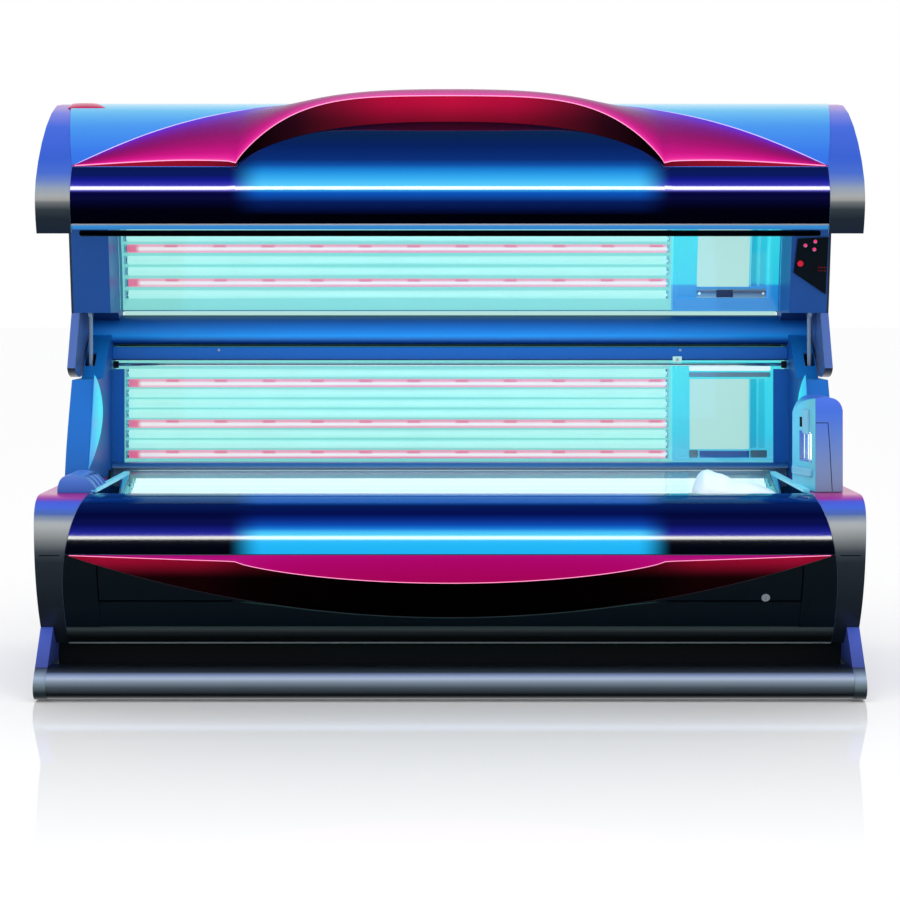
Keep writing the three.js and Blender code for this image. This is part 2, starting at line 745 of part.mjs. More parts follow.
// The accent is a gull wing: flat wings on the nose line that meet in a raised arch.
const wingTip = canopyEdge - 2;
const wingLine = 1.262;
const archLine = 1.615;
const wingBack = 2;
const edgeWidth = 0.012;

function archRise(x) {
  const share = Math.min(1, Math.abs(x) / archHalf);
  return (1 - share ** 2.4) ** 0.72;
}

function wingTaper(x) {
  return Math.max(0, 1 - (x / wingTip) ** 2);
}

function wingLower(x) {
  return wingLine + (archLine - wingLine) * archRise(x);
}

// The fascia under the ridge is widest halfway up the arch and thins to an edge along the wings.
function wingRidge(x) {
  const rise = archRise(x);
  const fascia = (0.038 + 0.28 * rise * (1 - rise)) * Math.min(1, rise * 6);
  return wingLower(x) + edgeWidth * Math.min(1, wingTaper(x) * 12) + fascia;
}

function wingUpper(x) {
  return wingLine + edgeWidth + (wingBack - wingLine - edgeWidth) * wingTaper(x);
}

// Columns along the bed, closest together where the arch springs from the wings.
function wingColumns(end) {
  const inside = [0, 0.2, 0.4, 0.6, 0.76, 0.88, 0.95, 0.985, 1].map((share) => archHalf * share);
  const outside = [0.25, 0.5, 0.75, 1].map((share) => archHalf + (end - archHalf) * share);
  const right = [...inside, ...outside];
  const left = right.slice(1).reverse();
  return [...left.map((x) => -x), ...right];
}

function makeCanopy() {
  const canopy = new THREE.Group();
  const seams = wingColumns(canopyEdge - gap);
  const coverTop = (x) => wingLine - 0.006 + (archLine - wingLine + 0.05) * archRise(x);
  const skinGrid = (from, to, count, proud) => seams.map((x) => range(count).map((i) => {
    const u = from(x) + ((to(x) - from(x)) * i) / (count - 1);
    return spot(x, stationAt(canopyOuter, u), proud);
  }));
  const coverFoot = () => 0;
  const cover = thickPatch(
    skinGrid(coverFoot, coverTop, 8, 0),
    skinGrid(coverFoot, coverTop, 8, -coverWall),
  );
  const lipShape = outline([
    [lipY - 1, lipHeight], [lipY + 22, lipHeight - 6], [lipY + 24, lipHeight + 8], [lipY + 1, lipHeight + 16],
  ]);
  const lip = alongX(lipShape, -armInner, armInner);
  piece(canopy, "canopy_front_cover", join(cover, lip), "gloss");

  const shellFoot = (x) => coverTop(x) + 0.003;
  const shellEnd = () => canopyOuter.length;
  const shell = thickPatch(
    skinGrid(shellFoot, shellEnd, 13, 0),
    skinGrid(shellFoot, shellEnd, 13, -coverWall),
  );
  piece(canopy, "canopy_shell", shell, "blueSilver");

  const across = wingColumns(wingTip);
  const crest = (x) => {
    const centre = Math.max(0, 1 - (x / archFade) ** 2);
    return wingEdge + wingBody * wingTaper(x) + archCrest * centre ** 2;
  };
  // Shares from the ridge to the back edge, after the fascia's foot, and the height at each.
  const shares = [0, 0.36, 0.68, 1];
  const swell = [0.08, 1.03, 0.95, 0.55, 0.05];
  const wing = (height) => across.map((x) => {
    const [ridge, upper] = [wingRidge(x), Math.max(wingRidge(x) + 0.004, wingUpper(x))];
    const lines = [wingLower(x), ...shares.map((share) => ridge + (upper - ridge) * share)];
    return lines.map((u, i) => spot(x, stationAt(canopyOuter, u), height(x, i)));
  });
  const accentProud = accentSeat + 1;
  const accent = thickPatch(wing((x, i) => accentProud + crest(x) * swell[i]), wing(() => accentSeat));
  piece(canopy, "canopy_accent", accent, "magenta");

  const tubeEnd = columnOuter - gap;
  const tube = rodAlongX(tubeRadius, -tubeEnd, tubeEnd, hinge.y, hinge.z, 32);
  const tubeBore = rodAlongX(tubeRadius - tubeWall, -half, half, hinge.y, hinge.z, 24);
  piece(canopy, "hinge_tube", cut(tube, tubeBore), "blueSilver");

  const strut = strutPlaces();
  const armFront = { low: hinge.y - armReachLow, high: hinge.y - armReachHigh };
  const armKnee = lipHeight + 20;
  const arm = new THREE.Shape();
  const saddle = tubeRadius + gap;
  const seatHeight = saddle * 0.706;
  const seat = Math.acos(seatHeight / saddle);
  arm.moveTo(armFront.low, armBottom);
  arm.lineTo(hinge.y + 36, armBottom);
  arm.lineTo(hinge.y + 40, armBottom + 28);
  arm.lineTo(hinge.y + 116, canopyBackZ);
  arm.lineTo(hinge.y + 16, canopyBackZ + 130);
  arm.lineTo(hinge.y - 184, canopyBackZ + 190);
  arm.lineTo(armFront.high - 15, armKnee + 96);
  arm.lineTo(armFront.high, armKnee);
  const saddleShape = new THREE.Shape();
  saddleShape.moveTo(hinge.y - 70, armBottom + 2);
  saddleShape.lineTo(hinge.y - saddle * Math.sin(seat), hinge.z + seatHeight);
  saddleShape.absarc(hinge.y, hinge.z, saddle, Math.PI / 2 + seat, Math.PI / 2 - seat, true);
  saddleShape.lineTo(hinge.y + 36, armBottom + 2);
  const cavity = outline([
    [armFront.low + 6, armBottom + 50], [hinge.y + 46, armBottom + 50], [hinge.y + 100, canopyBackZ],
    [hinge.y + 8, canopyBackZ + 118], [hinge.y - 180, canopyBackZ + 176], [armFront.high, armKnee + 82],
    [armFront.high + 10, armKnee],
  ]);
  const pocketHalf = 14;
  for (const [side, word] of [[-1, "left"], [1, "right"]]) {
    const [p0, p1] = onSide(side, strutX - pocketHalf, strutX + pocketHalf);
    const body = alongX(arm, ...onSide(side, armInner, half - endWall - gap), 10);
    const pocket = rodAlongX(eyeRadius + 12, p0, p1, strut.pin.y, strut.pin.z, 24);
    const pin = rodAlongX(pinRadius, p0 - 6, p1 + 6, strut.pin.y, strut.pin.z, 12);
    const hollow = alongX(cavity, ...onSide(side, armInner + 8, half));
    const foot = alongX(saddleShape, ...onSide(side, armInner, cheekInner - gap), 10);
    piece(canopy, `${word}_canopy_arm`, join(cut(body, pocket, hollow), pin, foot), "blueSilver");

    const list = stations(canopyOuter, 0, canopyOuter.length, 29);
    const skin = sheet(list, -coverWall, 0, side * canopyEdge, side * half);
    const cheekFront = { y: hinge.y - cheekReach, z: columnTop + 32 };
    const wall = new THREE.Shape(list.map((s) => new THREE.Vector2(s.y, s.z)));
    wall.lineTo(tailY - 4, armBottom - 5);
    wall.lineTo(armFront.low, armBottom - 5);
    wall.lineTo(armFront.high, armKnee);
    wall.bezierCurveTo(
      armFront.high - 70, armKnee + 90,
      archFrontY + 120, archFrontZ + 90,
      lipY + 26, lipHeight + 4,
    );
    const endPlate = alongX(wall, ...onSide(side, half - endWall, half), 8);
    const cheek = new THREE.Shape();
    cheek.moveTo(armFront.low, armBottom - gap);
    cheek.lineTo(cheekFront.y, cheekFront.z);
    cheek.bezierCurveTo(
      cheekFront.y + 20, columnTop,
      hinge.y - 200, columnTop - 4,
      hinge.y - 150, columnTop + 10,
    );
    cheek.lineTo(hinge.y - 46, hinge.z - 76);
    cheek.absarc(hinge.y, hinge.z, 89, Math.PI * 1.33, Math.PI * 2.08, false);
    cheek.lineTo(hinge.y + 58, armBottom - gap);
    const cheekPlate = alongX(cheek, ...onSide(side, cheekInner, half), 8);
    piece(canopy, `${word}_canopy_end_cap`, join(skin, endPlate, cheekPlate), "silver");
  }

  const innerEnd = armInner - gap * 2;
  const inner = stations(canopyInner, 0, 2, 25);
  piece(canopy, "canopy_acrylic", sheet(inner, 0, acrylicWall, -innerEnd, innerEnd), "acrylic");

  const reflectorLow = 62;
  const reflected = stations(canopyInner, 0.2, 2, 19);
  const mirror = sheet(reflected, reflectorLow, reflectorLow + reflectorWall, -innerEnd, innerEnd);
  piece(canopy, "canopy_reflector", mirror, "reflector");

  const lampOut = 34;
  const lamps = stations(canopyInner, 0.27, 1.965, canopyLampCount).map((s) => ({
    y: s.y + s.ny * lampOut,
    z: s.z + s.nz * lampOut,
  }));
  const bank = lampBank(lamps, lampRadius, lampStart, lampEnd, 14, reflectorLow - gap, reflected);
  piece(canopy, "canopy_lamp_bank", bank, "lamp");

  // The face tanner closes the head end of the arch behind the acrylic.
  const faceList = reflected.filter((s) => s.u > 1.35);
  const faceEnd = lampEnd + 10;
  const faceBody = sheet(faceList, 12, reflectorLow - gap, faceEnd, innerEnd - 4);
  const wellList = stations(canopyInner, 1.47, 1.95, 9);
  const faceWell = sheet(wellList, 6, reflectorLow - 14, faceEnd + 14, innerEnd - 34);
  piece(canopy, "face_tanner", cut(faceBody, faceWell), "reflector");

  canopy.add(makeControls(armFront, armKnee));
  return canopy;
}

// The control panel lies on the sloping front of the right arm; Y runs across its thickness.
function makeControls(armFront, armKnee) {
  const controls = new THREE.Group();
  const rise = armKnee - armBottom;
  const run = armFront.high - armFront.low;
  controls.position.set(armInner, armFront.low, armBottom);
  controls.rotation.x = Math.atan2(-run, rise);
  const panelThick = 7;
  const face = outline([[8, 124], [106, 58], [109, 232], [18, 228]]);
  const plate = alongY(face, -panelThick - gap, -gap);
  const stems = 4;
  const buttons = {
    start_button: [27, 153, 9, "red"],
    upper_button: [69, 220, 6, "grey"],
    middle_button: [40, 208, 6, "grey"],
    lower_button: [67, 196, 6, "grey"],
  };
  const bores = [];
  for (const [name, [x, z, radius, finish]] of Object.entries(buttons)) {
    const proud = 5;
    const cap = rodAlongY(radius, -panelThick - proud, -panelThick + stems, x, z, 18);
    bores.push(rodAlongY(radius + gap, -panelThick - 20, -panelThick + stems + 2.2, x, z, 18));
    piece(controls, name, cap, finish);
  }
  piece(controls, "control_panel", cut(plate, ...bores), "darkPanel");
  return controls;
}

// The housings at the foot and head ends stand on the caps' shoulders.
function makeEnds() {
  const ends = new THREE.Group();
  const seat = benchTop + gap;
  const footBack = columnShoulder - 15;
  const footFront = footBack - footHousingDepth;
  const foot = new THREE.Shape();
  const footInner = -(capShoulder - 16);
  const footOuter = -(half - footHousingInset);
  foot.moveTo(footOuter, seat);
  foot.lineTo(footInner, seat);
  foot.lineTo(footInner, seat + 12);
  foot.bezierCurveTo(footInner - 20, seat + 46, footOuter + 60, seat + 52, footOuter + 30, seat + 50);
  foot.bezierCurveTo(footOuter + 8, seat + 46, footOuter, seat + 30, footOuter, seat);
  const gills = range(3).map((i) => {
    const y = footFront + 36 + i * 56;
    const gill = outline([[y, seat + 6], [y + 34, seat + 6], [y + 30, seat + 60]]);
    return alongX(gill, footInner - 34, footInner + 10);
  });
  piece(ends, "foot_end_housing", cut(alongY(foot, footFront, footBack), ...gills), "blueSilver");

  const podBack = columnShoulder - 2;
  const podFront = podBack - podDepth;
  const podTop = benchTop + podHeight;
  const podOuter = half - podInset;
  const podInner = podOuter - podWidth;
  const plan = outline([
    [podInner + podLean, podFront], [podOuter, podFront], [podOuter, podBack], [podInner, podBack],
  ]);
  const tower = new THREE.Shape();
  tower.moveTo(podInner - 1, seat);
  tower.lineTo(podOuter + 1, seat);
  tower.lineTo(podOuter + 1, podTop - 46);
  tower.bezierCurveTo(podOuter, podTop - 14, podOuter - 18, podTop, podOuter - 42, podTop);
  tower.lineTo(podInner + 52, podTop);
  tower.bezierCurveTo(podInner + 24, podTop, podInner + 4, podTop - 22, podInner - 1, podTop - 60);
  const body = common(alongZ(plan, seat, podTop), alongY(tower, podFront - 1, podBack + 1));
  const faceLength = Math.hypot(podLean, podBack - podFront);
  const faceTurn = Math.atan2(podBack - podFront, -podLean);
  const window = { along: faceLength * 0.42, z: benchTop + 124, wide: 96, tall: 84, deep: 30 };
  const place = (geometry) => geometry.rotateZ(faceTurn).translate(podInner + podLean, podFront, 0);
  const recess = place(box(
    window.along - window.wide / 2, window.along + window.wide / 2, -window.deep, 5,
    window.z - window.tall / 2, window.z + window.tall / 2,
  ));
  piece(ends, "head_pod", cut(body, recess), "blueSilver");

  const blade = { wide: window.wide - 12, tall: window.tall - 10, thick: 6, y: -window.deep / 2 };
  const flat = box(
    window.along - blade.wide / 2, window.along + blade.wide / 2,
    blade.y - blade.thick / 2, blade.y + blade.thick / 2,
    window.z - blade.tall / 2, window.z + blade.tall / 2,
  );
  const spindle = new THREE.CylinderGeometry(4, 4, window.tall - 2 * gap, 12);
  spindle.rotateX(Math.PI / 2).translate(window.along, blade.y, window.z);
  piece(ends, "pod_louvre", place(join(flat, spindle)), "acrylic");
  return ends;
}

function makeRear() {
  const rear = new THREE.Group();
  const wall = 4;
  const seat = plateTop + gap;
  const innerY = columnBack + gap;
  // The cover bends over behind the hinge tube, under the canopy's tail.
  const outer = [
    { y: hinge.y + 62, z: hinge.z + 47, ny: 0.14, nz: 0.99 },
    { y: innerY, z: hinge.z + 38, ny: 0.35, nz: 0.94 },
    { y: innerY + 80, z: hinge.z - 12, ny: 0.77, nz: 0.64 },
    { y: back, z: hinge.z - 176, ny: 0.98, nz: 0.2 },
    { y: back, z: seat, ny: 1, nz: 0 },
  ];
  const skin = sheet(outer, -wall, 0, -columnOuter, columnOuter);
  const endOutline = outline([...outer.slice(1).map((s) => [s.y, s.z]), [innerY, seat]]);
  const endPlate = (side) => alongX(endOutline, ...onSide(side, columnOuter - wall, columnOuter));
  const endPlates = [-1, 1].map(endPlate);
  const fan = { x: 0, z: fanHeight };
  const opening = rodAlongY(fanRadius, back - 20, back + 20, fan.x, fan.z, 28);
  const spokes = [0, 1].map((i) => {
    const bar = box(-fanRadius - 6, fanRadius + 6, back - wall, back, -7, 7);
    return bar.rotateY(Math.PI / 4 + (i * Math.PI) / 2).translate(fan.x, 0, fan.z);
  });
  const hub = rodAlongY(fanHubRadius, back - 26, back, fan.x, fan.z, 20);
  const shaftBore = rodAlongY(fanShaftRadius + gap, back - 40, back - 8, fan.x, fan.z, 14);
  const gland = rodAlongY(16, back - wall - 6, back, -columnOuter + 120, seat + 60, 16);
  const cover = cut(join(cut(join(skin, ...endPlates), opening), ...spokes, hub, gland), shaftBore);
  piece(rear, "rear_cover", cover, "darkPanel");

  const blades = range(6).map((i) => {
    const blade = box(20, fanRadius - 10, -2, 2, -22, 22).rotateX(0.6);
    return blade.rotateY((i * Math.PI) / 3).translate(fan.x, back - 56, fan.z);
  });
  const boss = rodAlongY(fanHubRadius - 4, back - 74, back - 36, fan.x, fan.z, 20);
  const shaft = rodAlongY(fanShaftRadius, back - 40, back - 10, fan.x, fan.z, 14);
  piece(rear, "fan_wheel", join(boss, shaft, ...blades), "grey");

  const trayFoot = panBottom + panWall + gap;
  const trayWall = 4;
  const tray = box(-trayEnd, trayEnd, panFront + 60, back - 200, trayFoot, trayFoot + trayWall);
  const ballastFront = panFront + 120;
  const ballasts = range(ballastCount).map((i) => {
    const x = (i - (ballastCount - 1) / 2) * ballastPitch - ballastWidth / 2;
    const [low, high] = [trayFoot + trayWall / 2, trayFoot + trayWall / 2 + ballastHeight];
    return box(x, x + ballastWidth, ballastFront, ballastFront + ballastDepth, low, high);
  });
  piece(rear, "ballast_tray", join(tray, ...ballasts), "steel");
  return rear;
}

bed.add(makeBase(), makeLowerFront(), makeBench(), makeBack(), makeStruts());
bed.add(makeCanopy(), makeEnds(), makeRear());

export default bed;
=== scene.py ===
# A clamshell tanning bed: lacquered shells, lit lamp banks, clear acrylic and small fittings.
import math

import bmesh
import bpy
from mathutils import Matrix, Vector


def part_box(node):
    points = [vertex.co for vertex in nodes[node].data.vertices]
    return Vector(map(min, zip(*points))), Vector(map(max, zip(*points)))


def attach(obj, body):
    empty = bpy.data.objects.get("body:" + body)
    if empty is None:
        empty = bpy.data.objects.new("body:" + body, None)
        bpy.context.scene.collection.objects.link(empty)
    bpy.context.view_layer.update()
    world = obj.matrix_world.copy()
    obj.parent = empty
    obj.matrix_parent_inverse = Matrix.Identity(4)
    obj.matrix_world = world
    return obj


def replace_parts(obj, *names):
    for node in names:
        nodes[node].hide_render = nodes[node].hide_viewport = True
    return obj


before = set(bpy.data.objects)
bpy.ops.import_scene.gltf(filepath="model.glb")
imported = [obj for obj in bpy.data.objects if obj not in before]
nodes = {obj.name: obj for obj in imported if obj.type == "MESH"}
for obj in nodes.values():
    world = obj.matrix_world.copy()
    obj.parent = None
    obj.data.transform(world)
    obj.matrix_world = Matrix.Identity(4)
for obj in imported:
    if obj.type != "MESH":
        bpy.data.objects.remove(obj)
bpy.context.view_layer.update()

scene = bpy.context.scene
mm = 0.001


# Small tools

def srgb(text):
    parts = [int(text[i:i + 2], 16) / 255 for i in (1, 3, 5)]
    linear = [c / 12.92 if c <= 0.04045 else ((c + 0.055) / 1.055) ** 2.4 for c in parts]
    return (*linear, 1.0)


def addNode(tree, kind, settings=None, inputs=None):
    # inputs takes a value, or the output socket that feeds it
    node = tree.nodes.new(kind)
    for key, value in (settings or {}).items():
        setattr(node, key, value)
    for key, value in (inputs or {}).items():
        if isinstance(value, bpy.types.NodeSocket):
            tree.links.new(value, node.inputs[key])
        else:
            node.inputs[key].default_value = value
    return node


def newMaterial(name):
    material = bpy.data.materials.new(name)
    material.use_nodes = True
    tree = material.node_tree
    return material, tree, tree.nodes["Principled BSDF"]


def tintRamp(tree, value, stops):
    # colours by a measure; the stops run from its lowest value to its highest
    low, high = stops[0][0], stops[-1][0]
    share = addNode(tree, "ShaderNodeMapRange", None, {"Value": value, "From Min": low, "From Max": high})
    ramp = addNode(tree, "ShaderNodeValToRGB", None, {0: share.outputs[0]})
    elements = ramp.color_ramp.elements
    elements[0].color = srgb(stops[0][1])
    elements[1].color = srgb(stops[-1][1])
    for place, colour in stops[1:-1]:
        elements.new((place - low) / (high - low)).color = srgb(colour)
    return ramp.outputs[0]


def meshPiece(name, bm, material, body, bevel=0.0, second=None):
    # second is the material of the faces whose index is 1
    mesh = bpy.data.meshes.new(name)
    bm.to_mesh(mesh)
    bm.free()
    for face in mesh.polygons:
        face.use_smooth = True
    mesh.materials.append(material)
    if second:
        mesh.materials.append(second)
    piece = bpy.data.objects.new(name, mesh)
    scene.collection.objects.link(piece)
    if bevel:
        addBevel(piece, bevel)
    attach(piece, body)
    return piece


def addBox(bm, x, y, z):
    made = bmesh.ops.create_cube(bm, size=1.0)["verts"]
    bmesh.ops.scale(bm, verts=made, vec=Vector((x[1] - x[0], y[1] - y[0], z[1] - z[0])) * mm)
    bmesh.ops.translate(bm, verts=made, vec=Vector((sum(x) / 2, sum(y) / 2, sum(z) / 2)) * mm)
    return made


def addRod(bm, radius, start, end, sides=20):
    # a round bar between two points, in millimetres
    way = Vector(end) - Vector(start)
    made = bmesh.ops.create_cone(
        bm, cap_ends=True, segments=sides, radius1=radius * mm, radius2=radius * mm, depth=way.length * mm
    )["verts"]
    bmesh.ops.rotate(bm, verts=made, matrix=way.to_track_quat("Z", "Y").to_matrix())
    bmesh.ops.translate(bm, verts=made, vec=(Vector(start) + Vector(end)) / 2 * mm)
    return made


def boxPiece(name, x, y, z, finish, body, bevel=1.0):
    bm = bmesh.new()
    addBox(bm, x, y, z)
    return meshPiece(name, bm, finishes[finish], body, bevel)


def addBevel(piece, width, angle=35, segments=2):
    edge = piece.modifiers.new("edge", "BEVEL")
    edge.width = width * mm
    edge.segments = segments
    edge.limit_method = "ANGLE"
    edge.angle_limit = math.radians(angle)
    edge.harden_normals = True
    edge.profile = 0.5
    edge.material = -1


def bezierPoint(points, t):
    a, b, c, d = points
    s = 1 - t
    return tuple(s ** 3 * p + 3 * s * s * t * q + 3 * s * t * t * r + t ** 3 * e for p, q, r, e in zip(a, b, c, d))


def bezierSlope(points, t):
    a, b, c, d = points
    s = 1 - t
    return tuple(
        3 * s * s * (q - p) + 6 * s * t * (r - q) + 3 * t * t * (e - r) for p, q, r, e in zip(a, b, c, d)
    )


def station(curves, u):
    # a (Y, Z) place on a chain of curves, with the normal on the left of the way along
    part = min(int(u), len(curves) - 1)
    y, z = bezierPoint(curves[part], u - part)
    dy, dz = bezierSlope(curves[part], u - part)
    size = math.hypot(dy, dz) or 1.0
    return y, z, -dz / size, dy / size


def sheetPiece(name, columns, rows, place, wall, finish, body, bevel=0.8, under=None, split=0.0):
    # a grid moved onto a surface; place gives a point in millimetres for u along X and v up the profile,
    # and the faces below split take the second finish
    bm = bmesh.new()
    bmesh.ops.create_grid(bm, x_segments=columns, y_segments=rows, size=0.5)
    for face in bm.faces:
        face.material_index = int(face.calc_center_median().y + 0.5 < split)
    across = bm.verts.layers.float.new("across")
    for vert in bm.verts:
        vert[across] = vert.co.y + 0.5
        vert.co = Vector(place(vert.co.x + 0.5, vert.co.y + 0.5)) * mm
    piece = meshPiece(name, bm, finishes[finish], body, second=finishes[under] if under else None)
    solid = piece.modifiers.new("wall", "SOLIDIFY")
    solid.thickness = wall * mm
    solid.offset = -1
    if bevel:
        addBevel(piece, bevel, angle=40)
    return piece


# Materials

def lacquer(name, tints, sideReflection, rough, metallic, coat=0.3, flakeMm=1.4):
    # lacquer sprayed on moulded ABS: fine metal flakes under a clear coat, its colour painted light by the way it
    # faces:
    # painted shade where it faces down, painted highlights and painted reflections of blue light where it faces up,
    # and a painted reflection of side light where it faces along X, at the ends
    material, tree, bsdf = newMaterial(name)
    coords = addNode(tree, "ShaderNodeTexCoord")
    normal = addNode(tree, "ShaderNodeSeparateXYZ", inputs={0: coords.outputs["Normal"]})
    side = addNode(tree, "ShaderNodeMath", {"operation": "ABSOLUTE"}, {0: normal.outputs["X"]})
    sideReflectionShare = addNode(tree, "ShaderNodeMapRange", {"interpolation_type": "SMOOTHSTEP"},
                        {"Value": side.outputs[0], "From Min": 0.35, "From Max": 0.95})
    flakes = addNode(tree, "ShaderNodeTexNoise", {"noise_dimensions": "3D"},
                     {"Vector": coords.outputs["Object"], "Scale": 1 / (flakeMm * mm), "Detail": 2.0})
    cloud = addNode(tree, "ShaderNodeTexNoise", None,
                    {"Vector": coords.outputs["Object"], "Scale": 1 / (180 * mm), "Detail": 1.0})
    withSideReflection = addNode(tree, "ShaderNodeMix", {"data_type": "RGBA"},
                     {"Factor": sideReflectionShare.outputs[0], 6: tintRamp(tree, normal.outputs["Z"], tints),
                      7: srgb(sideReflection)})
    shade = addNode(tree, "ShaderNodeMapRange", None,
                    {"Value": flakes.outputs[0], "From Min": 0.3, "From Max": 0.7, "To Min": 0.93, "To Max": 1.06})
    colour = addNode(tree, "ShaderNodeMix", {"data_type": "RGBA", "blend_type": "MULTIPLY"},
                     {"Factor": 1.0, 6: withSideReflection.outputs[2], 7: shade.outputs[0]})
    tree.links.new(colour.outputs[2], bsdf.inputs["Base Color"])
    uneven = addNode(tree, "ShaderNodeMapRange", None,
                     {"Value": cloud.outputs[0], "To Min": rough - 0.03, "To Max": rough + 0.05})
    tree.links.new(uneven.outputs[0], bsdf.inputs["Roughness"])
    bump = addNode(tree, "ShaderNodeBump", None,
                   {"Height": flakes.outputs[0], "Strength": 0.015, "Distance": 0.0002})
    tree.links.new(bump.outputs[0], bsdf.inputs["Normal"])
    bsdf.inputs["Metallic"].default_value = metallic
    bsdf.inputs["Coat Weight"].default_value = coat
    bsdf.inputs["Coat Roughness"].default_value = 0.1
    return material


def pianoGloss(name, base, navy, glow, half):
    # black acrylic-capped ABS, polished: mirror clear, with the faint long waves that a vacuum-formed sheet keeps;
    # its emission is painted light: painted reflections of blue light, a pale painted highlight line, and a brighter
    # painted blue glow across the middle of the cover; both tints are given by height in millimetres
    material, tree, bsdf = newMaterial(name)
    coords = addNode(tree, "ShaderNodeTexCoord")
    waves = addNode(tree, "ShaderNodeTexNoise", None,
                    {"Vector": coords.outputs["Object"], "Scale": 1 / (160 * mm), "Detail": 0.0})
    bump = addNode(tree, "ShaderNodeBump", None,
                   {"Height": waves.outputs[0], "Strength": 0.04, "Distance": 0.002})
    tree.links.new(bump.outputs[0], bsdf.inputs["Normal"])
    dust = addNode(tree, "ShaderNodeTexNoise", None,
                   {"Vector": coords.outputs["Object"], "Scale": 1 / (4 * mm), "Detail": 3.0})
    haze = addNode(tree, "ShaderNodeMapRange", None,
                   {"Value": dust.outputs[0], "To Min": 0.05, "To Max": 0.09})
    tree.links.new(haze.outputs[0], bsdf.inputs["Roughness"])
    bsdf.inputs["Base Color"].default_value = srgb(base)
    bsdf.inputs["IOR"].default_value = 1.5
    place = addNode(tree, "ShaderNodeSeparateXYZ", None, {0: coords.outputs["Object"]})
    along = addNode(tree, "ShaderNodeMath", {"operation": "ABSOLUTE"}, {0: place.outputs["X"]})
    ends = addNode(tree, "ShaderNodeMapRange", {"interpolation_type": "SMOOTHSTEP"},
                   {"Value": along.outputs[0], "From Min": (half + 10) * mm, "From Max": (half - 90) * mm})
    reflectionTint = tintRamp(tree, place.outputs["Z"], [(height * mm, tint) for height, tint in navy])
    lit = tintRamp(tree, place.outputs["Z"], [(height * mm, tint) for height, tint in glow])
    colour = addNode(tree, "ShaderNodeMix", {"data_type": "RGBA"}, {"Factor": ends.outputs[0], 6: reflectionTint, 7: lit})
    tree.links.new(colour.outputs[2], bsdf.inputs["Emission Color"])
    bsdf.inputs["Emission Strength"].default_value = 1.0
    return material


def magentaLacquer(name, tints, across=False):
    # metallic magenta lacquer under a clear coat: bright where it faces up, deeper where it turns to the front;
    # the bright and the deep tints are painted highlight and painted shade
    material, tree, bsdf = newMaterial(name)
    coords = addNode(tree, "ShaderNodeTexCoord")
    if across:
        value = addNode(tree, "ShaderNodeAttribute", {"attribute_name": "across"}).outputs["Fac"]
    else:
        value = addNode(tree, "ShaderNodeSeparateXYZ", None, {0: coords.outputs["Normal"]}).outputs["Z"]
    flakes = addNode(tree, "ShaderNodeTexNoise", None,
                     {"Vector": coords.outputs["Object"], "Scale": 1 / (1.6 * mm), "Detail": 2.0})
    shade = addNode(tree, "ShaderNodeMapRange", None,
                    {"Value": flakes.outputs[0], "From Min": 0.3, "From Max": 0.7, "To Min": 0.95, "To Max": 1.04})
    colour = addNode(tree, "ShaderNodeMix", {"data_type": "RGBA", "blend_type": "MULTIPLY"},
                     {"Factor": 1.0, 6: tintRamp(tree, value, tints), 7: shade.outputs[0]})
    tree.links.new(colour.outputs[2], bsdf.inputs["Base Color"])
    rough = addNode(tree, "ShaderNodeMapRange", None,
                    {"Value": flakes.outputs[0], "To Min": 0.24, "To Max": 0.3})
    tree.links.new(rough.outputs[0], bsdf.inputs["Roughness"])
    bsdf.inputs["Specular IOR Level"].default_value = 0.15
    bsdf.inputs["Specular Tint"].default_value = srgb("#6a38e0")
    bsdf.inputs["Coat Weight"].default_value = 0.02
    bsdf.inputs["Coat Roughness"].default_value = 0.06
    return material


def magentaInShade(name, along, dark, bright, floor):
    # the magenta lacquer in painted shade, for the faces that turn under: tinted along X, and darker lower down
    material, tree, bsdf = newMaterial(name)
    coords = addNode(tree, "ShaderNodeTexCoord")
    place = addNode(tree, "ShaderNodeSeparateXYZ", None, {0: coords.outputs["Object"]})
    reach = addNode(tree, "ShaderNodeMath", {"operation": "ABSOLUTE"}, {0: place.outputs["X"]})
    shadeByHeight = addNode(tree, "ShaderNodeMapRange", {"interpolation_type": "SMOOTHSTEP"},
                   {"Value": place.outputs["Z"], "From Min": dark * mm, "From Max": bright * mm,
                    "To Min": floor, "To Max": 1.0})
    tint = tintRamp(tree, reach.outputs[0], [(x * mm, colour) for x, colour in along])
    flakes = addNode(tree, "ShaderNodeTexNoise", None,
                     {"Vector": coords.outputs["Object"], "Scale": 1 / (1.6 * mm), "Detail": 2.0})
    rough = addNode(tree, "ShaderNodeMapRange", None,
                    {"Value": flakes.outputs[0], "To Min": 0.3, "To Max": 0.42})
    tree.links.new(rough.outputs[0], bsdf.inputs["Roughness"])
    colour = addNode(tree, "ShaderNodeMix", {"data_type": "RGBA", "blend_type": "MULTIPLY"},
                     {"Factor": 1.0, 6: tint, 7: shadeByHeight.outputs[0]})
    tree.links.new(colour.outputs[2], bsdf.inputs["Base Color"])
    bsdf.inputs["Specular IOR Level"].default_value = 0.06
    return material


def polishedMetal(name, base, rough, scratchMm, metallic=1.0):
    # chromed or polished metal: mirror bright, with fine wiping marks along the length
    material, tree, bsdf = newMaterial(name)
    coords = addNode(tree, "ShaderNodeTexCoord")
    stretch = addNode(tree, "ShaderNodeMapping", None,
                      {"Vector": coords.outputs["Object"], "Scale": (0.04, 1.0, 1.0)})
    marks = addNode(tree, "ShaderNodeTexNoise", None,
                    {"Vector": stretch.outputs[0], "Scale": 1 / (scratchMm * mm), "Detail": 3.0})
    wear = addNode(tree, "ShaderNodeMapRange", None,
                   {"Value": marks.outputs[0], "From Min": 0.35, "From Max": 0.75,
                    "To Min": rough, "To Max": rough + 0.12})
    tree.links.new(wear.outputs[0], bsdf.inputs["Roughness"])
    bsdf.inputs["Base Color"].default_value = srgb(base)
    bsdf.inputs["Metallic"].default_value = metallic
    return material


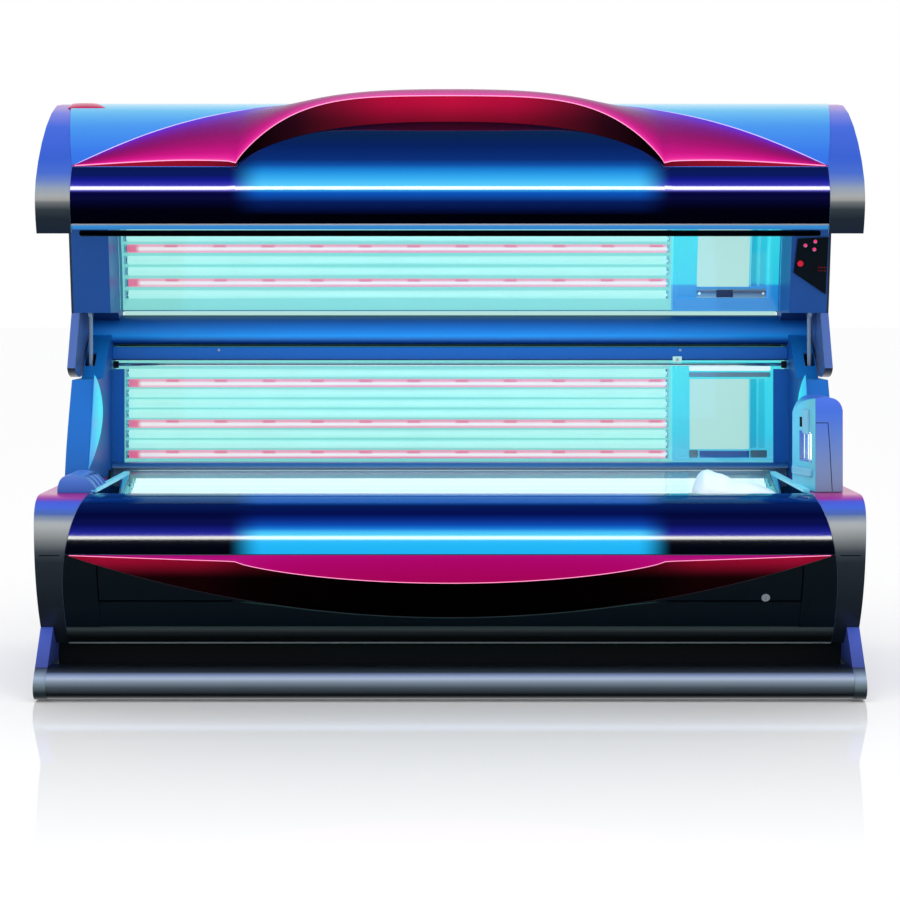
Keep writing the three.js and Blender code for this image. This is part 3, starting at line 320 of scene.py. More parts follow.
def mouldedPlastic(name, base, rough, grainMm=0.9, glow=None):
    # injection-moulded ABS with a fine spark-eroded grain, drawn a little coarse so that it shows
    material, tree, bsdf = newMaterial(name)
    coords = addNode(tree, "ShaderNodeTexCoord")
    grain = addNode(tree, "ShaderNodeTexVoronoi", None,
                    {"Vector": coords.outputs["Object"], "Scale": 1 / (grainMm * mm)})
    bump = addNode(tree, "ShaderNodeBump", None,
                   {"Height": grain.outputs[0], "Strength": 0.12, "Distance": 0.0002})
    tree.links.new(bump.outputs[0], bsdf.inputs["Normal"])
    cloud = addNode(tree, "ShaderNodeTexNoise", None,
                    {"Vector": coords.outputs["Object"], "Scale": 1 / (60 * mm), "Detail": 2.0})
    uneven = addNode(tree, "ShaderNodeMapRange", None,
                     {"Value": cloud.outputs[0], "To Min": rough - 0.05, "To Max": rough + 0.06})
    tree.links.new(uneven.outputs[0], bsdf.inputs["Roughness"])
    bsdf.inputs["Base Color"].default_value = srgb(base)
    # glow lights the keypad lights and the readout; on the other parts it is painted light
    if glow:
        bsdf.inputs["Emission Color"].default_value = srgb(glow)
        bsdf.inputs["Emission Strength"].default_value = 1.0
    return material


def clearAcrylic(name, tint, rough=0.02):
    # cast acrylic sheet, flame-polished: clear, with a slight cool tint and hair-fine wiping marks
    material, tree, bsdf = newMaterial(name)
    coords = addNode(tree, "ShaderNodeTexCoord")
    marks = addNode(tree, "ShaderNodeTexNoise", None,
                    {"Vector": coords.outputs["Object"], "Scale": 1 / (30 * mm), "Detail": 2.0})
    wipe = addNode(tree, "ShaderNodeMapRange", None,
                   {"Value": marks.outputs[0], "From Min": 0.4, "From Max": 0.7, "To Min": rough, "To Max": rough + 0.03})
    tree.links.new(wipe.outputs[0], bsdf.inputs["Roughness"])
    bsdf.inputs["Base Color"].default_value = srgb(tint)
    bsdf.inputs["IOR"].default_value = 1.49
    bsdf.inputs["Transmission Weight"].default_value = 1.0
    return material


def lampGlass(name, tints, strength, streak=None, streakMm=150):
    # fluorescent tube: phosphor-coated glass, paler along the middle than at its edges; the red tubes have
    # a darker streak at an even spacing and a solid red end towards -X
    material, tree, bsdf = newMaterial(name)
    coords = addNode(tree, "ShaderNodeTexCoord")
    place = addNode(tree, "ShaderNodeSeparateXYZ", None, {0: coords.outputs["Object"]})
    normal = addNode(tree, "ShaderNodeSeparateXYZ", None, {0: coords.outputs["Normal"]})
    haze = addNode(tree, "ShaderNodeTexNoise", None,
                   {"Vector": coords.outputs["Object"], "Scale": 1 / (90 * mm), "Detail": 1.0})
    even = addNode(tree, "ShaderNodeMapRange", None,
                   {"Value": haze.outputs[0], "To Min": strength * 0.95, "To Max": strength * 1.05})
    tree.links.new(even.outputs[0], bsdf.inputs["Emission Strength"])
    colour = tintRamp(tree, normal.outputs["Z"], tints)
    if streak:
        wave = addNode(tree, "ShaderNodeMath", {"operation": "MULTIPLY"},
                       {0: place.outputs["X"], 1: 2 * math.pi / (streakMm * mm)})
        swing = addNode(tree, "ShaderNodeMath", {"operation": "SINE"}, {0: wave.outputs[0]})
        dash = addNode(tree, "ShaderNodeMapRange", {"interpolation_type": "SMOOTHSTEP"},
                       {"Value": swing.outputs[0], "From Min": 0.55, "From Max": 0.8})
        upper = addNode(tree, "ShaderNodeMapRange", {"interpolation_type": "SMOOTHSTEP"},
                        {"Value": normal.outputs["Z"], "From Min": 0.1, "From Max": 0.35})
        both = addNode(tree, "ShaderNodeMath", {"operation": "MULTIPLY"}, {0: dash.outputs[0], 1: upper.outputs[0]})
        near = addNode(tree, "ShaderNodeMapRange", None,
                       {"Value": place.outputs["X"], "From Min": -0.958, "From Max": -0.972})
        share = addNode(tree, "ShaderNodeMath", {"operation": "MAXIMUM"}, {0: both.outputs[0], 1: near.outputs[0]})
        mix = addNode(tree, "ShaderNodeMix", {"data_type": "RGBA"},
                      {"Factor": share.outputs[0], 6: colour, 7: srgb(streak)})
        colour = mix.outputs[2]
    tree.links.new(colour, bsdf.inputs["Emission Color"])
    bsdf.inputs["Base Color"].default_value = srgb("#5a6a68")
    bsdf.inputs["Roughness"].default_value = 0.35
    return material


def bandedPaint(name, bands, rough, sides=None):
    # satin paint whose colour runs with height in millimetres, in bands of painted highlights, reflections and shade;
    # sides tints what faces along X, from -X to +X, also painted light
    material, tree, bsdf = newMaterial(name)
    coords = addNode(tree, "ShaderNodeTexCoord")
    place = addNode(tree, "ShaderNodeSeparateXYZ", None, {0: coords.outputs["Object"]})
    colour = tintRamp(tree, place.outputs["Z"], [(height * mm, tint) for height, tint in bands])
    if sides:
        normal = addNode(tree, "ShaderNodeSeparateXYZ", None, {0: coords.outputs["Normal"]})
        turned = addNode(tree, "ShaderNodeMath", {"operation": "ABSOLUTE"}, {0: normal.outputs["X"]})
        share = addNode(tree, "ShaderNodeMapRange", {"interpolation_type": "SMOOTHSTEP"},
                        {"Value": turned.outputs[0], "From Min": 0.2, "From Max": 0.8})
        mix = addNode(tree, "ShaderNodeMix", {"data_type": "RGBA"},
                      {"Factor": share.outputs[0], 6: colour, 7: tintRamp(tree, normal.outputs["X"], sides)})
        colour = mix.outputs[2]
    tree.links.new(colour, bsdf.inputs["Base Color"])
    grain = addNode(tree, "ShaderNodeTexNoise", None,
                    {"Vector": coords.outputs["Object"], "Scale": 1 / (3 * mm), "Detail": 2.0})
    uneven = addNode(tree, "ShaderNodeMapRange", None,
                     {"Value": grain.outputs[0], "To Min": rough - 0.04, "To Max": rough + 0.06})
    tree.links.new(uneven.outputs[0], bsdf.inputs["Roughness"])
    return material


def litPlate(name, tints, axis, strength):
    # a plate that glows: tanner panes and lamps lit from behind, and on the other parts painted light of the lamps
    # and painted reflections; the tints run along one axis, in millimetres
    material, tree, bsdf = newMaterial(name)
    coords = addNode(tree, "ShaderNodeTexCoord")
    place = addNode(tree, "ShaderNodeSeparateXYZ", None, {0: coords.outputs["Object"]})
    tint = tintRamp(tree, place.outputs[axis], [(length * mm, colour) for length, colour in tints])
    tree.links.new(tint, bsdf.inputs["Emission Color"])
    bsdf.inputs["Emission Strength"].default_value = strength
    haze = addNode(tree, "ShaderNodeTexNoise", None,
                   {"Vector": coords.outputs["Object"], "Scale": 1 / (40 * mm), "Detail": 2.0})
    rough = addNode(tree, "ShaderNodeMapRange", None, {"Value": haze.outputs[0], "To Min": 0.25, "To Max": 0.4})
    tree.links.new(rough.outputs[0], bsdf.inputs["Roughness"])
    bsdf.inputs["Base Color"].default_value = srgb("#30444a")
    return material


# tints by the way a surface faces, from straight down to straight up: painted shade, painted highlights and painted
# reflections
# end caps: painted shade facing down, a pale painted highlight near level, painted reflections of blue and magenta
# light facing up
silverPaintedLight = [(-1, "#1a2027"), (-0.5, "#222a33"), (-0.22, "#2c3640"), (-0.16, "#4a525a"), (-0.1, "#8c9294"),
               (-0.03, "#c6cac9"), (0.04, "#c4cbd0"), (0.14, "#9aa8c0"), (0.3, "#5878c4"), (0.6, "#4a70dc"),
               (0.84, "#5a62d8"), (0.92, "#a830a4"), (1, "#c81490")]
capPaintedLight = [(-1, "#16243c"), (-0.5, "#1c2c44"), (-0.28, "#24323e"), (-0.17, "#3a464e"), (-0.09, "#767c7e"),
            (0, "#b0b0ac"), (0.12, "#b8bcbc"), (0.26, "#a0aec0"), (0.38, "#7890c4"), (0.5, "#4a70c8"),
            (0.66, "#3a62c8"), (0.84, "#4a6ad0"), (0.92, "#8478d0"), (1, "#c474bc")]
# painted shade at the foot and top of the rail, a painted highlight where it turns to the front
railPaintedLight = [(-1, "#080d0f"), (-0.5, "#141c20"), (-0.1, "#56646e"), (0.15, "#94a6b6"), (0.35, "#c8d8ec"),
             (0.55, "#9cacc4"), (0.8, "#39434f"), (1, "#1c2229")]
# the shell's blue paint, with a painted reflection that turns pale towards the top
shellPaintAndReflection = [(-1, "#1d3a7a"), (0, "#2358bc"), (0.5, "#2868d6"), (0.7, "#3478de"), (0.84, "#4898e2"),
              (0.93, "#64bce2"), (1, "#b4e6ee")]
# the frames' blue paint, darker where it faces down: painted shade
framePaintAndShade = [(-1, "#061c48"), (-0.3, "#0c4690"), (0, "#0f6cc0"), (0.4, "#1074cc"), (1, "#1a8cdc")]
# the hinge tube's blue paint, with a painted highlight just below the middle and painted shade above and below it
tubePaintedLight = [(-1, "#041430"), (-0.7, "#0a4c9c"), (-0.35, "#10a0ec"), (0, "#0e8ade"), (0.5, "#0c60b0"), (1, "#08306c")]
# the sill's blue paint with a pale painted highlight where it faces level, and painted shade below
sillPaintedLight = [(-1, "#12305c"), (-0.2, "#6c829c"), (0.1, "#98aabb"), (0.5, "#3f78b4"), (1, "#1c68b8")]
# across the canopy accent from the ridge back: a painted pink highlight at the ridge, the magenta, and a painted violet
# reflection at the back edge
accentPaintAndLight = [(0.2, "#ec4a9e"), (0.24, "#d41e8a"), (0.31, "#bc0a74"), (0.44, "#9c0462"), (0.58, "#84045a"),
               (0.72, "#76066c"), (0.83, "#700c8c"), (0.92, "#6016b4"), (1, "#5a28cc")]
# the lower lens's magenta, darker where it faces down: painted shade
lensPaintAndShade = [(-1, "#7a0030"), (-0.1, "#a80448"), (0.2, "#ac0464"), (0.7, "#b40c74"), (1, "#a01484")]
uvTints = [(-1, "#78d0ca"), (-0.8, "#9ce8e0"), (-0.45, "#b2f4ec"), (0.45, "#b8f6ee"), (0.8, "#9ce8e0"),
           (1, "#78d0ca")]
redTints = [(-1, "#e86c94"), (-0.6, "#ffa0be"), (-0.25, "#fff0f4"), (0.12, "#fff6f8"), (0.4, "#ffa8c4"),
            (1, "#ea7098")]
# painted light on the black covers, by height: painted reflections of blue light, a pale painted highlight line, and in
# the glow lists the painted blue glow across the middle of each cover
canopyPaintedReflection = [(1280, "#000002"), (1350, "#00000a"), (1396, "#05053c"), (1400, "#3c389c"), (1404, "#a49ce4"),
              (1410, "#6c64cc"), (1418, "#3430ac"), (1430, "#141488"), (1444, "#080b54"), (1470, "#030738"),
              (1540, "#02041c"), (1600, "#020214")]
canopyPaintedGlow = [(1335, "#000004"), (1370, "#041c5c"), (1396, "#0c58c0"), (1406, "#3cb4f4"), (1416, "#58ccfc"),
              (1436, "#38aef0"), (1458, "#1c84d4"), (1474, "#0c4c9c"), (1490, "#062468"), (1530, "#020a48"),
              (1565, "#01041c"), (1600, "#010210")]
lowerPaintedReflection = [(404, "#00020a"), (452, "#00030c"), (457, "#2c2ca4"), (468, "#141c84"), (486, "#060c50"),
             (512, "#020838"), (540, "#020a40"), (550, "#06307c"), (562, "#042050")]
lowerPaintedGlow = [(404, "#1eb0f4"), (444, "#26bcfa"), (456, "#48d0ff"), (464, "#48c4fa"), (474, "#1a7cd8"),
             (484, "#0a4cb0"), (498, "#062a84"), (514, "#030e50"), (536, "#020a40"), (547, "#0a50b4"),
             (562, "#08409a")]
# painted shade on the faces under the canopy accent, along X: red at the middle, near black where the arch meets the
# wings, red again along the wings
fasciaPaintedShade = [(0, "#b80438"), (180, "#a80034"), (310, "#780024"), (430, "#3c0014"), (540, "#180008"),
               (588, "#180008"), (594, "#b00430"), (800, "#d00838"), (1050, "#e01048")]
# painted shade under the lower lens's crease, along X: near black in the middle, red towards the tips
underPaintedShade = [(0, "#38000e"), (420, "#40000f"), (560, "#600016"), (680, "#98022a"), (950, "#a80632"),
              (1050, "#900024")]
# the trim's dark anodising with painted highlights: a bright line near its foot and a soft band near its top
trimPaintedHighlights = [(137, "#141a1b"), (138, "#a4b4b8"), (142, "#8a9aa0"), (143.5, "#0c1112"), (160, "#121819"),
             (174, "#2c3537"), (184, "#4c585a"), (192, "#2a3335"), (197, "#0c1213")]
# below 92 mm, painted light like the rail's: painted shade at the foot and top, a painted highlight near 66 mm;
# violet-blue above
platePaintedLight = [(4, "#0a1214"), (28, "#2a383e"), (50, "#74868f"), (66, "#9fb4ca"), (82, "#5c6c80"), (91, "#26303c"),
              (92.5, "#3c4c98"), (190, "#4a62c8")]
# the pod's blue, greyer and paler lower down: painted light
podPaintedLight = [(562, "#8497bd"), (640, "#7890c6"), (720, "#5c82d6"), (790, "#3f72e6"), (828, "#4a78ec")]
# the foot end's blue, lighter towards the top: painted light
footPaintedLight = [(562, "#3868c4"), (590, "#4478d8"), (613, "#5c88e0")]
# along X: cyan on the inner side that faces the lamps and magenta on the outer side, painted light and a painted side
# reflection
podSidePaintedLight = [(-1, "#78dcf2"), (-0.7, "#5cc4ee"), (-0.3, "#4c88dc"), (0.3, "#5a6cd0"), (0.7, "#8a48b4"), (1, "#a83098")]

finishes = {
    # the lacquers and banded paints below carry painted light in their tints
    "silver": lacquer("silverLacquer", silverPaintedLight, "#7686b4", 0.3, 0.25),
    "cap": lacquer("capLacquer", capPaintedLight, "#7686b4", 0.3, 0.25),
    "rail": lacquer("silverLacquerRail", railPaintedLight, "#6a7fae", 0.3, 0.25),
    "shell": lacquer("blueLacquer", shellPaintAndReflection, "#3a62b8", 0.3, 0.2),
    "plate": bandedPaint("violetLacquer", platePaintedLight, 0.34),
    "pod": bandedPaint("podLacquer", podPaintedLight, 0.34, podSidePaintedLight),
    "foot": bandedPaint("footLacquer", footPaintedLight, 0.34),
    "frame": lacquer("frameLacquer", framePaintAndShade, "#0c5cb0", 0.42, 0.1, 0.1),
    "tube": lacquer("tubeLacquer", tubePaintedLight, "#0c3c86", 0.4, 0.1, 0.1),
    "sill": lacquer("sillAnodised", sillPaintedLight, "#4a6a94", 0.36, 0.3, 0.1),
    "canopyBlack": pianoGloss("canopyPianoBlack", "#010105", canopyPaintedReflection, canopyPaintedGlow, 600),
    "lowerBlack": pianoGloss("lowerPianoBlack", "#010105", lowerPaintedReflection, lowerPaintedGlow, 600),
    "dark": mouldedPlastic("darkPanelAbs", "#0a171e", 0.3),
    "trim": bandedPaint("anodisedTrim", trimPaintedHighlights, 0.4),
    "steel": mouldedPlastic("powderCoatedSteel", "#141c1a", 0.6, 1.5),
    "rubber": mouldedPlastic("footRubber", "#0c0c0d", 0.7, 2.0),
    "magenta": magentaLacquer("magentaLacquer", accentPaintAndLight, across=True),
    "lens": magentaLacquer("lensLacquer", lensPaintAndShade),
    # the faces under the accents: the magenta lacquer in painted shade
    "magentaShade": magentaInShade("magentaInShade", fasciaPaintedShade, 1592, 1672, 0.42),
    "under": magentaInShade("lensUnderInShade", underPaintedShade, 336, 397, 0.03),
    # thin glowing lines on the accents: painted highlights along the ridge, the crease and the rim
    "pinkHighlight": mouldedPlastic("pinkPaintedHighlight", "#f090b8", 0.3, 0.9, glow="#d06c98"),
    "paleHighlight": mouldedPlastic("palePaintedHighlight", "#c4b8f0", 0.3, 0.9, glow="#7c70c0"),
    "footLine": mouldedPlastic("greyEdgeLine", "#3a2c38", 0.4),
    "cast": mouldedPlastic("zincDieCast", "#8c939a", 0.35),
    "acrylic": clearAcrylic("clearAcrylic", "#f4feff"),
    "lamp": lampGlass("uvLampGlass", uvTints, 0.98),
    "bench": lampGlass("benchLampGlass", [(-1, "#d8f4f4"), (1, "#f4fbff")], 1.15),
    "pinkLamp": lampGlass("redLampGlass", redTints, 0.92, streak="#ee6c94"),
    # the reflector sheets and the face tanner's perforation glow: painted light of the lamps on them
    "reflector": litPlate("reflectorSheet", [(400, "#88e2da"), (1700, "#94ece4")], "Z", 0.82),
    "mirror": polishedMetal("mirrorSheet", "#dcecf2", 0.12, 2.0),
    "chrome": polishedMetal("chromeSteel", "#e2e6ea", 0.06, 0.8),
    "satin": polishedMetal("satinSteel", "#c4ced8", 0.34, 0.8, 0.4),
    # the cushion's faint glow is painted light from the lamps around it
    "cover": mouldedPlastic("cushionVinyl", "#f6fafc", 0.5, 2.2, glow="#5c6468"),
    # the start button's faint glow is painted light
    "red": mouldedPlastic("redButtonAbs", "#d0102e", 0.25, 0.9, glow="#7a0818"),
    "led": mouldedPlastic("pinkButtonLight", "#e02868", 0.3, 0.9, glow="#d81c58"),
    "grey": mouldedPlastic("greyAbs", "#8a8f98", 0.4),
    # the lamp holders' teal glow is painted light from the tubes
    "holder": mouldedPlastic("lampHolderPbt", "#b9dfe0", 0.4, 1.2, glow="#2c6a70"),
    # mint glow on the face and shoulder plates, the tail seal and the rod clip: painted light of the lamps
    "mint": litPlate("mintPlate", [(560, "#bcece4"), (1700, "#c8f2ea")], "Z", 0.85),
    "cyan": litPlate("cyanPane", [(600, "#5cc0e4"), (680, "#30d0ec"), (900, "#38e4ee"), (1080, "#1684d8"),
                                  (1145, "#1890e0"), (1152, "#22d4ee"), (1320, "#3ce4f0")], "Z", 0.9),
    # the blue strip at the canopy cover's lower edge glows: a painted reflection
    "lipBlue": litPlate("lipBlueStrip", [(1290, "#0c5cac"), (1308, "#1c94e4")], "Z", 0.9),
    # red ABS with a faint glow: painted light
    "wedge": mouldedPlastic("wedgeAbs", "#b80838", 0.2, 0.9, glow="#480010"),
    # matt black for the panel seams, slots and the bar under the canopy lip: painted shade
    "shadeBlack": mouldedPlastic("paintedShadeBlack", "#000000", 0.9),
    # pale blue, deeper where it faces down and paler where it faces up: painted light
    "podPale": lacquer("podPaleLacquer", [(-1, "#3f78b0"), (0, "#8cc8ee"), (1, "#a8dcf4")], "#8fd4f2", 0.34, 0.1),
    "dimRed": mouldedPlastic("dimReadout", "#200408", 0.3, 0.9, glow="#5c0414"),
    "podWhite": litPlate("podWhitePane", [(560, "#e8fbff"), (1700, "#f4feff")], "Z", 2.0),
    # the face tanner bracket's chrome, drawn as pale and blue bands by height: painted reflections
    "chromePaintedReflection": bandedPaint("chromePaintedReflection", [(1080, "#bcd4e8"), (1100, "#3c74c0"), (1106, "#e4f0f6"), (1118, "#7cb0dc"),
                                             (1126, "#1c4884"), (1136, "#9cc4e4")], 0.2),
    "navy": mouldedPlastic("navyAbs", "#123a78", 0.3),
    # the bench rail caps glow cyan: painted light of the lamps
    "paleCyan": litPlate("paleCyanRail", [(560, "#3aa8d8"), (575, "#70d0ea")], "Z", 0.8),
    # the inner sides of the columns glow cyan, brighter towards the back: painted light of the lamps
    "paneCyan": litPlate("columnPane", [(-220, "#1c88dc"), (-120, "#22a8e8"), (0, "#30dcec"), (110, "#40ecec")], "Y", 0.9),
    "white": litPlate("whitePane", [(560, "#e8fbff"), (1700, "#f4feff")], "Z", 0.95),
}
print("materials made:", len(bpy.data.materials))


# CAD pieces that keep their shape: welded, edges eased, finished

def finishNode(name, finish, bevel=1.0, angle=32):
    piece = nodes[name]
    piece.data.materials.clear()
    piece.data.materials.append(finishes[finish])
    if "custom_normal" in piece.data.attributes:
        piece.data.attributes.remove(piece.data.attributes["custom_normal"])
    for face in piece.data.polygons:
        face.use_smooth = True
    weld = piece.modifiers.new("weld", "WELD")
    weld.merge_threshold = 0.00002
    flat = piece.modifiers.new("flat", "DECIMATE")
    flat.decimate_type = "DISSOLVE"
    flat.angle_limit = math.radians(0.4)
    addBevel(piece, bevel, angle)
    return piece


keptNodes = {
    "rail": ["front_rail"],
    "silver": ["left_lower_end_cap", "right_lower_end_cap"],
    "cap": ["left_canopy_end_cap", "right_canopy_end_cap"],
    "plate": ["left_base_plate", "right_base_plate"],
    "foot": ["foot_end_housing"],
    "frame": ["left_canopy_arm", "right_canopy_arm", "left_column", "right_column", "crossbar"],
    "tube": ["hinge_tube"],
    "sill": ["back_sill"],
    "dark": ["lower_front_panel", "left_corner_panel", "right_corner_panel", "service_flap", "rear_cover",
             "control_panel"],
    "steel": ["base_pan", "ballast_tray", "left_strut_cylinder", "right_strut_cylinder"],
    "rubber": ["foot_front_left", "foot_front_right", "foot_rear_left", "foot_rear_right"],
    "trim": ["kick_trim"],
    "acrylic": ["bench_acrylic", "back_acrylic", "canopy_acrylic", "pod_louvre"],
    "reflector": ["bench_reflector", "back_reflector", "canopy_reflector"],
    "cyan": ["shoulder_unit", "face_tanner"],
    "cast": ["lock_barrel"],
    "chrome": ["left_bench_rail", "right_bench_rail", "acrylic_rod"],
    "satin": ["left_strut_rod", "right_strut_rod"],
    "grey": ["fan_wheel", "upper_button", "middle_button", "lower_button"],
    "red": ["start_button"],
}
for finish, names in keptNodes.items():
    for name in names:
        finishNode(name, finish)
finishNode("head_pod", "pod", bevel=7).modifiers["edge"].segments = 4
print("kept nodes finished:", sum(len(names) for names in keptNodes.values()))


# Canopy shells

canopyLine = {
    "lip": (-493, 1284), "nose": (-518, 1386), "crown": (-90, 1676), "back": (452, 1290), "tail": (334, 1064),
    "edge": 1043.7, "wall": 4.5, "lipLine": 0.275, "lap": 62,
}


def canopyCurves():
    lipY, lipZ = canopyLine["lip"]
    noseY, noseZ = canopyLine["nose"]
    crownY, top = canopyLine["crown"]
    backY, backZ = canopyLine["back"]
    tailY, tailZ = canopyLine["tail"]
    return [
        ((lipY, lipZ), (lipY - 13, lipZ + 26), (noseY, noseZ - 41), (noseY, noseZ)),
        ((noseY, noseZ), (noseY, noseZ + 94), (crownY - 210, top), (crownY, top)),
        ((crownY, top), (crownY + 290, top), (backY, backZ + 230), (backY, backZ)),
        ((backY, backZ), (backY, backZ - 110), (tailY + 68, tailZ + 22), (tailY, tailZ)),
    ]


canopyOuter = canopyCurves()
wing = {
    "tip": 1042, "archHalf": 590, "archFade": 700, "wingLine": 1.244, "archLine": 1.615, "back": 2.0,
    "edge": 0.012, "bow": 0.034, "crest": 50, "body": 9, "thin": 3, "wall": 3,
}


def archRise(x):
    share = min(1.0, abs(x) / wing["archHalf"])
    return (1 - share ** 2.4) ** 0.72


def wingTaper(x):
    return max(0.0, 1 - (x / wing["tip"]) ** 2)


def wingLower(x):
    return wing["wingLine"] + (wing["archLine"] - wing["wingLine"]) * archRise(x)


def wingRidge(x):
    # the fascia under the ridge is widest halfway up the arch, and shows again as a bowed edge along each wing
    share = min(1.0, abs(x) / wing["archHalf"])
    out = min(1.0, max(0.0, (abs(x) - wing["archHalf"]) / (wing["tip"] - wing["archHalf"])))
    fascia = 0.055 * (1 - share ** 4) + 0.85 * share ** 3 * (1 - share) ** 1.3
    return wingLower(x) + 0.002 + fascia + wing["bow"] * math.sin(math.pi * out ** 0.6)


def wingUpper(x):
    span = wing["back"] - wing["wingLine"] - wing["edge"]
    return max(wingRidge(x) + 0.004, wing["wingLine"] + wing["edge"] + span * wingTaper(x))


def wingAlong(u, end):
    # columns crowd together where the arch springs from the wings
    share = abs(2 * u - 1)
    inner = 0.7
    if share <= inner:
        reach = wing["archHalf"] * (1 - (1 - share / inner) ** 2)
    else:
        reach = wing["archHalf"] + (end - wing["archHalf"]) * (share - inner) / (1 - inner)
    return math.copysign(reach, u - 0.5)


def onCanopy(x, along, proud):
    y, z, ny, nz = station(canopyOuter, along)
    return x, y + ny * proud, z + nz * proud


def coverTop(x):
    return wing["wingLine"] - 0.006 + (wing["archLine"] - wing["wingLine"] + 0.05) * archRise(x)


def makeCanopyShells():
    edge = canopyLine["edge"]
    wall = canopyLine["wall"]
    lipLine = canopyLine["lipLine"]

    def coverPlace(u, v):
        x = wingAlong(u, edge)
        return onCanopy(x, lipLine + (coverTop(x) - lipLine) * v, 0)

    def shellPlace(u, v):
        # the top sheet laps over the end caps towards the crown
        x = wingAlong(u, edge)
        foot = coverTop(x) + 0.003
        along = foot + (len(canopyOuter) - foot) * v
        share = min(1.0, max(0.0, (along - wing["wingLine"]) / 0.7))
        back = min(1.0, max(0.0, (len(canopyOuter) - along) / 0.8))
        lap = canopyLine["lap"] * share * back * max(0.0, (abs(x) - wing["archHalf"]) / (edge - wing["archHalf"]))
        return onCanopy(x + math.copysign(lap, x), along, 0.9)

    cover = sheetPiece("canopyFrontCover", 100, 30, coverPlace, wall, "canopyBlack", "canopy")
    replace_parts(cover, "canopy_front_cover")
    shell = sheetPiece("canopyShell", 100, 56, shellPlace, wall, "shell", "canopy")
    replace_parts(shell, "canopy_shell")


def crest(x):
    centre = max(0.0, 1 - (abs(x) / wing["archFade"]) ** 3)
    return wing["thin"] + wing["body"] * wingTaper(x) + wing["crest"] * centre ** 2.2


def canopyBead(name, alongOf, proudOf, radius, finish):
    # a half-round line laid along the accent, glowing as a painted highlight
    def place(u, v):
        angle = (v - 0.5) * math.pi
        x = wingAlong(u, wing["tip"] * 0.995)
        return onCanopy(x, alongOf(x) + radius * math.sin(angle) / 480, proudOf(x) + radius * (math.cos(angle) - 0.4))

    sheetPiece(name, 140, 6, place, 0.6, finish, "canopy", bevel=0)


def makeCanopyAccent():
    fascia = 0.2
    heights = [(0.0, 1.03), (0.36, 0.95), (0.68, 0.55), (1.0, 0.02)]

    def swell(share):
        # a smooth fall from the ridge to the back edge
        for (a, low), (b, high) in zip(heights, heights[1:]):
            if share <= b:
                return low + (high - low) * (share - a) / (b - a)
        return heights[-1][1]

    def place(u, v):
        x = wingAlong(u, wing["tip"])
        low, ridge, high = wingLower(x), wingRidge(x), wingUpper(x)
        if v < fascia:
            lean = v / fascia
            return onCanopy(x, low + (ridge - low) * lean, 0.4 + crest(x) * heights[0][1] * lean)
        share = (v - fascia) / (1 - fascia)
        soft = (swell(max(0.0, share - 0.1)) + swell(share) + swell(min(1.0, share + 0.1))) / 3
        blend = min(1.0, share * 8)
        height = 0.4 + crest(x) * (heights[0][1] * (1 - blend) + soft * blend)
        return onCanopy(x, ridge + (high - ridge) * share, height)

    accent = sheetPiece("canopyAccent", 140, 30, place, wing["wall"], "magenta", "canopy",
                        under="magentaShade", split=fascia)
    accent.modifiers["edge"].angle_limit = math.radians(28)
    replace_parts(accent, "canopy_accent")
    canopyBead("canopyRidgeLine", wingRidge, lambda x: 0.4 + crest(x) * heights[0][1], 1.6, "pinkHighlight")
    canopyBead("canopyRimLine", lambda x: wingUpper(x) - 0.006, lambda x: 1.0, 2.0, "paleHighlight")


makeCanopyShells()
makeCanopyAccent()
print("canopy shells made")


# Lower front shells

lowerLine = {
    "nose": (-534, 490), "radius": 495, "shoulder": (-440, 562), "coverFoot": 404, "coverEnd": -426,
    "capFoot": 1069, "capShoulder": 1005, "plateTop": 190, "gap": 0.3, "wall": 4.5,
}
lens = {
    "tip": 1049, "top": 402, "drop": 180, "crease": 66, "edge": 10, "archHalf": 590, "swell": 30, "wall": 4,
}


def frontArc(z):
    noseY, noseZ = lowerLine["nose"]
    drop = (z - noseZ) / lowerLine["radius"]
    reach = -math.sqrt(1 - drop * drop)
    return noseY + lowerLine["radius"] * (1 + reach), z, reach, drop


def capEdge(z):
    climb = max(0.0, (z - lowerLine["plateTop"]) / (lowerLine["shoulder"][1] - lowerLine["plateTop"]))
    return lowerLine["capFoot"] - (lowerLine["capFoot"] - lowerLine["capShoulder"]) * climb ** 3


def makeLowerCover():
    noseY, noseZ = lowerLine["nose"]
    shoulderY, shoulderZ = lowerLine["shoulder"]
    noseCurve = [((noseY, noseZ), (noseY, noseZ + 48), (noseY + 30, shoulderZ), (shoulderY, shoulderZ))]
    arcShare, noseShare = 0.4, 0.93

    def place(u, v):
        if v < arcShare:
            foot = lowerLine["coverFoot"]
            y, z, _, _ = frontArc(foot + (noseZ - foot) * v / arcShare)
        elif v < noseShare:
            y, z, _, _ = station(noseCurve, (v - arcShare) / (noseShare - arcShare))
        else:
            y = shoulderY + (lowerLine["coverEnd"] - shoulderY) * (v - noseShare) / (1 - noseShare)
            z = shoulderZ
        x = (2 * u - 1) * (capEdge(z) - lowerLine["gap"])
        return x, y, z

    cover = sheetPiece("lowerFrontCover", 60, 40, place, lowerLine["wall"], "lowerBlack", "bed")
    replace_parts(cover, "lower_front_cover")


def creaseLine(x):
    edge = min(1.0, 2.3 * (1 - abs(x) / lens["tip"]))
    arch = max(0.0, 1 - (x / lens["archHalf"]) ** 2) ** 0.75
    return lens["top"] - 1 - lens["edge"] * edge - (lens["crease"] - lens["edge"] - 1) * arch


def lensSwell(x):
    return max(0.0, 1 - (x / lens["tip"]) ** 2)


def lensFoot(x):
    return lens["top"] - 2 - (lens["drop"] - 2) * lensSwell(x)


def lensPeak(x):
    return 2 + lens["swell"] * lensSwell(x)


def onFront(x, z, proud):
    y, z, ny, nz = frontArc(z)
    return x, y + ny * proud, z + nz * proud


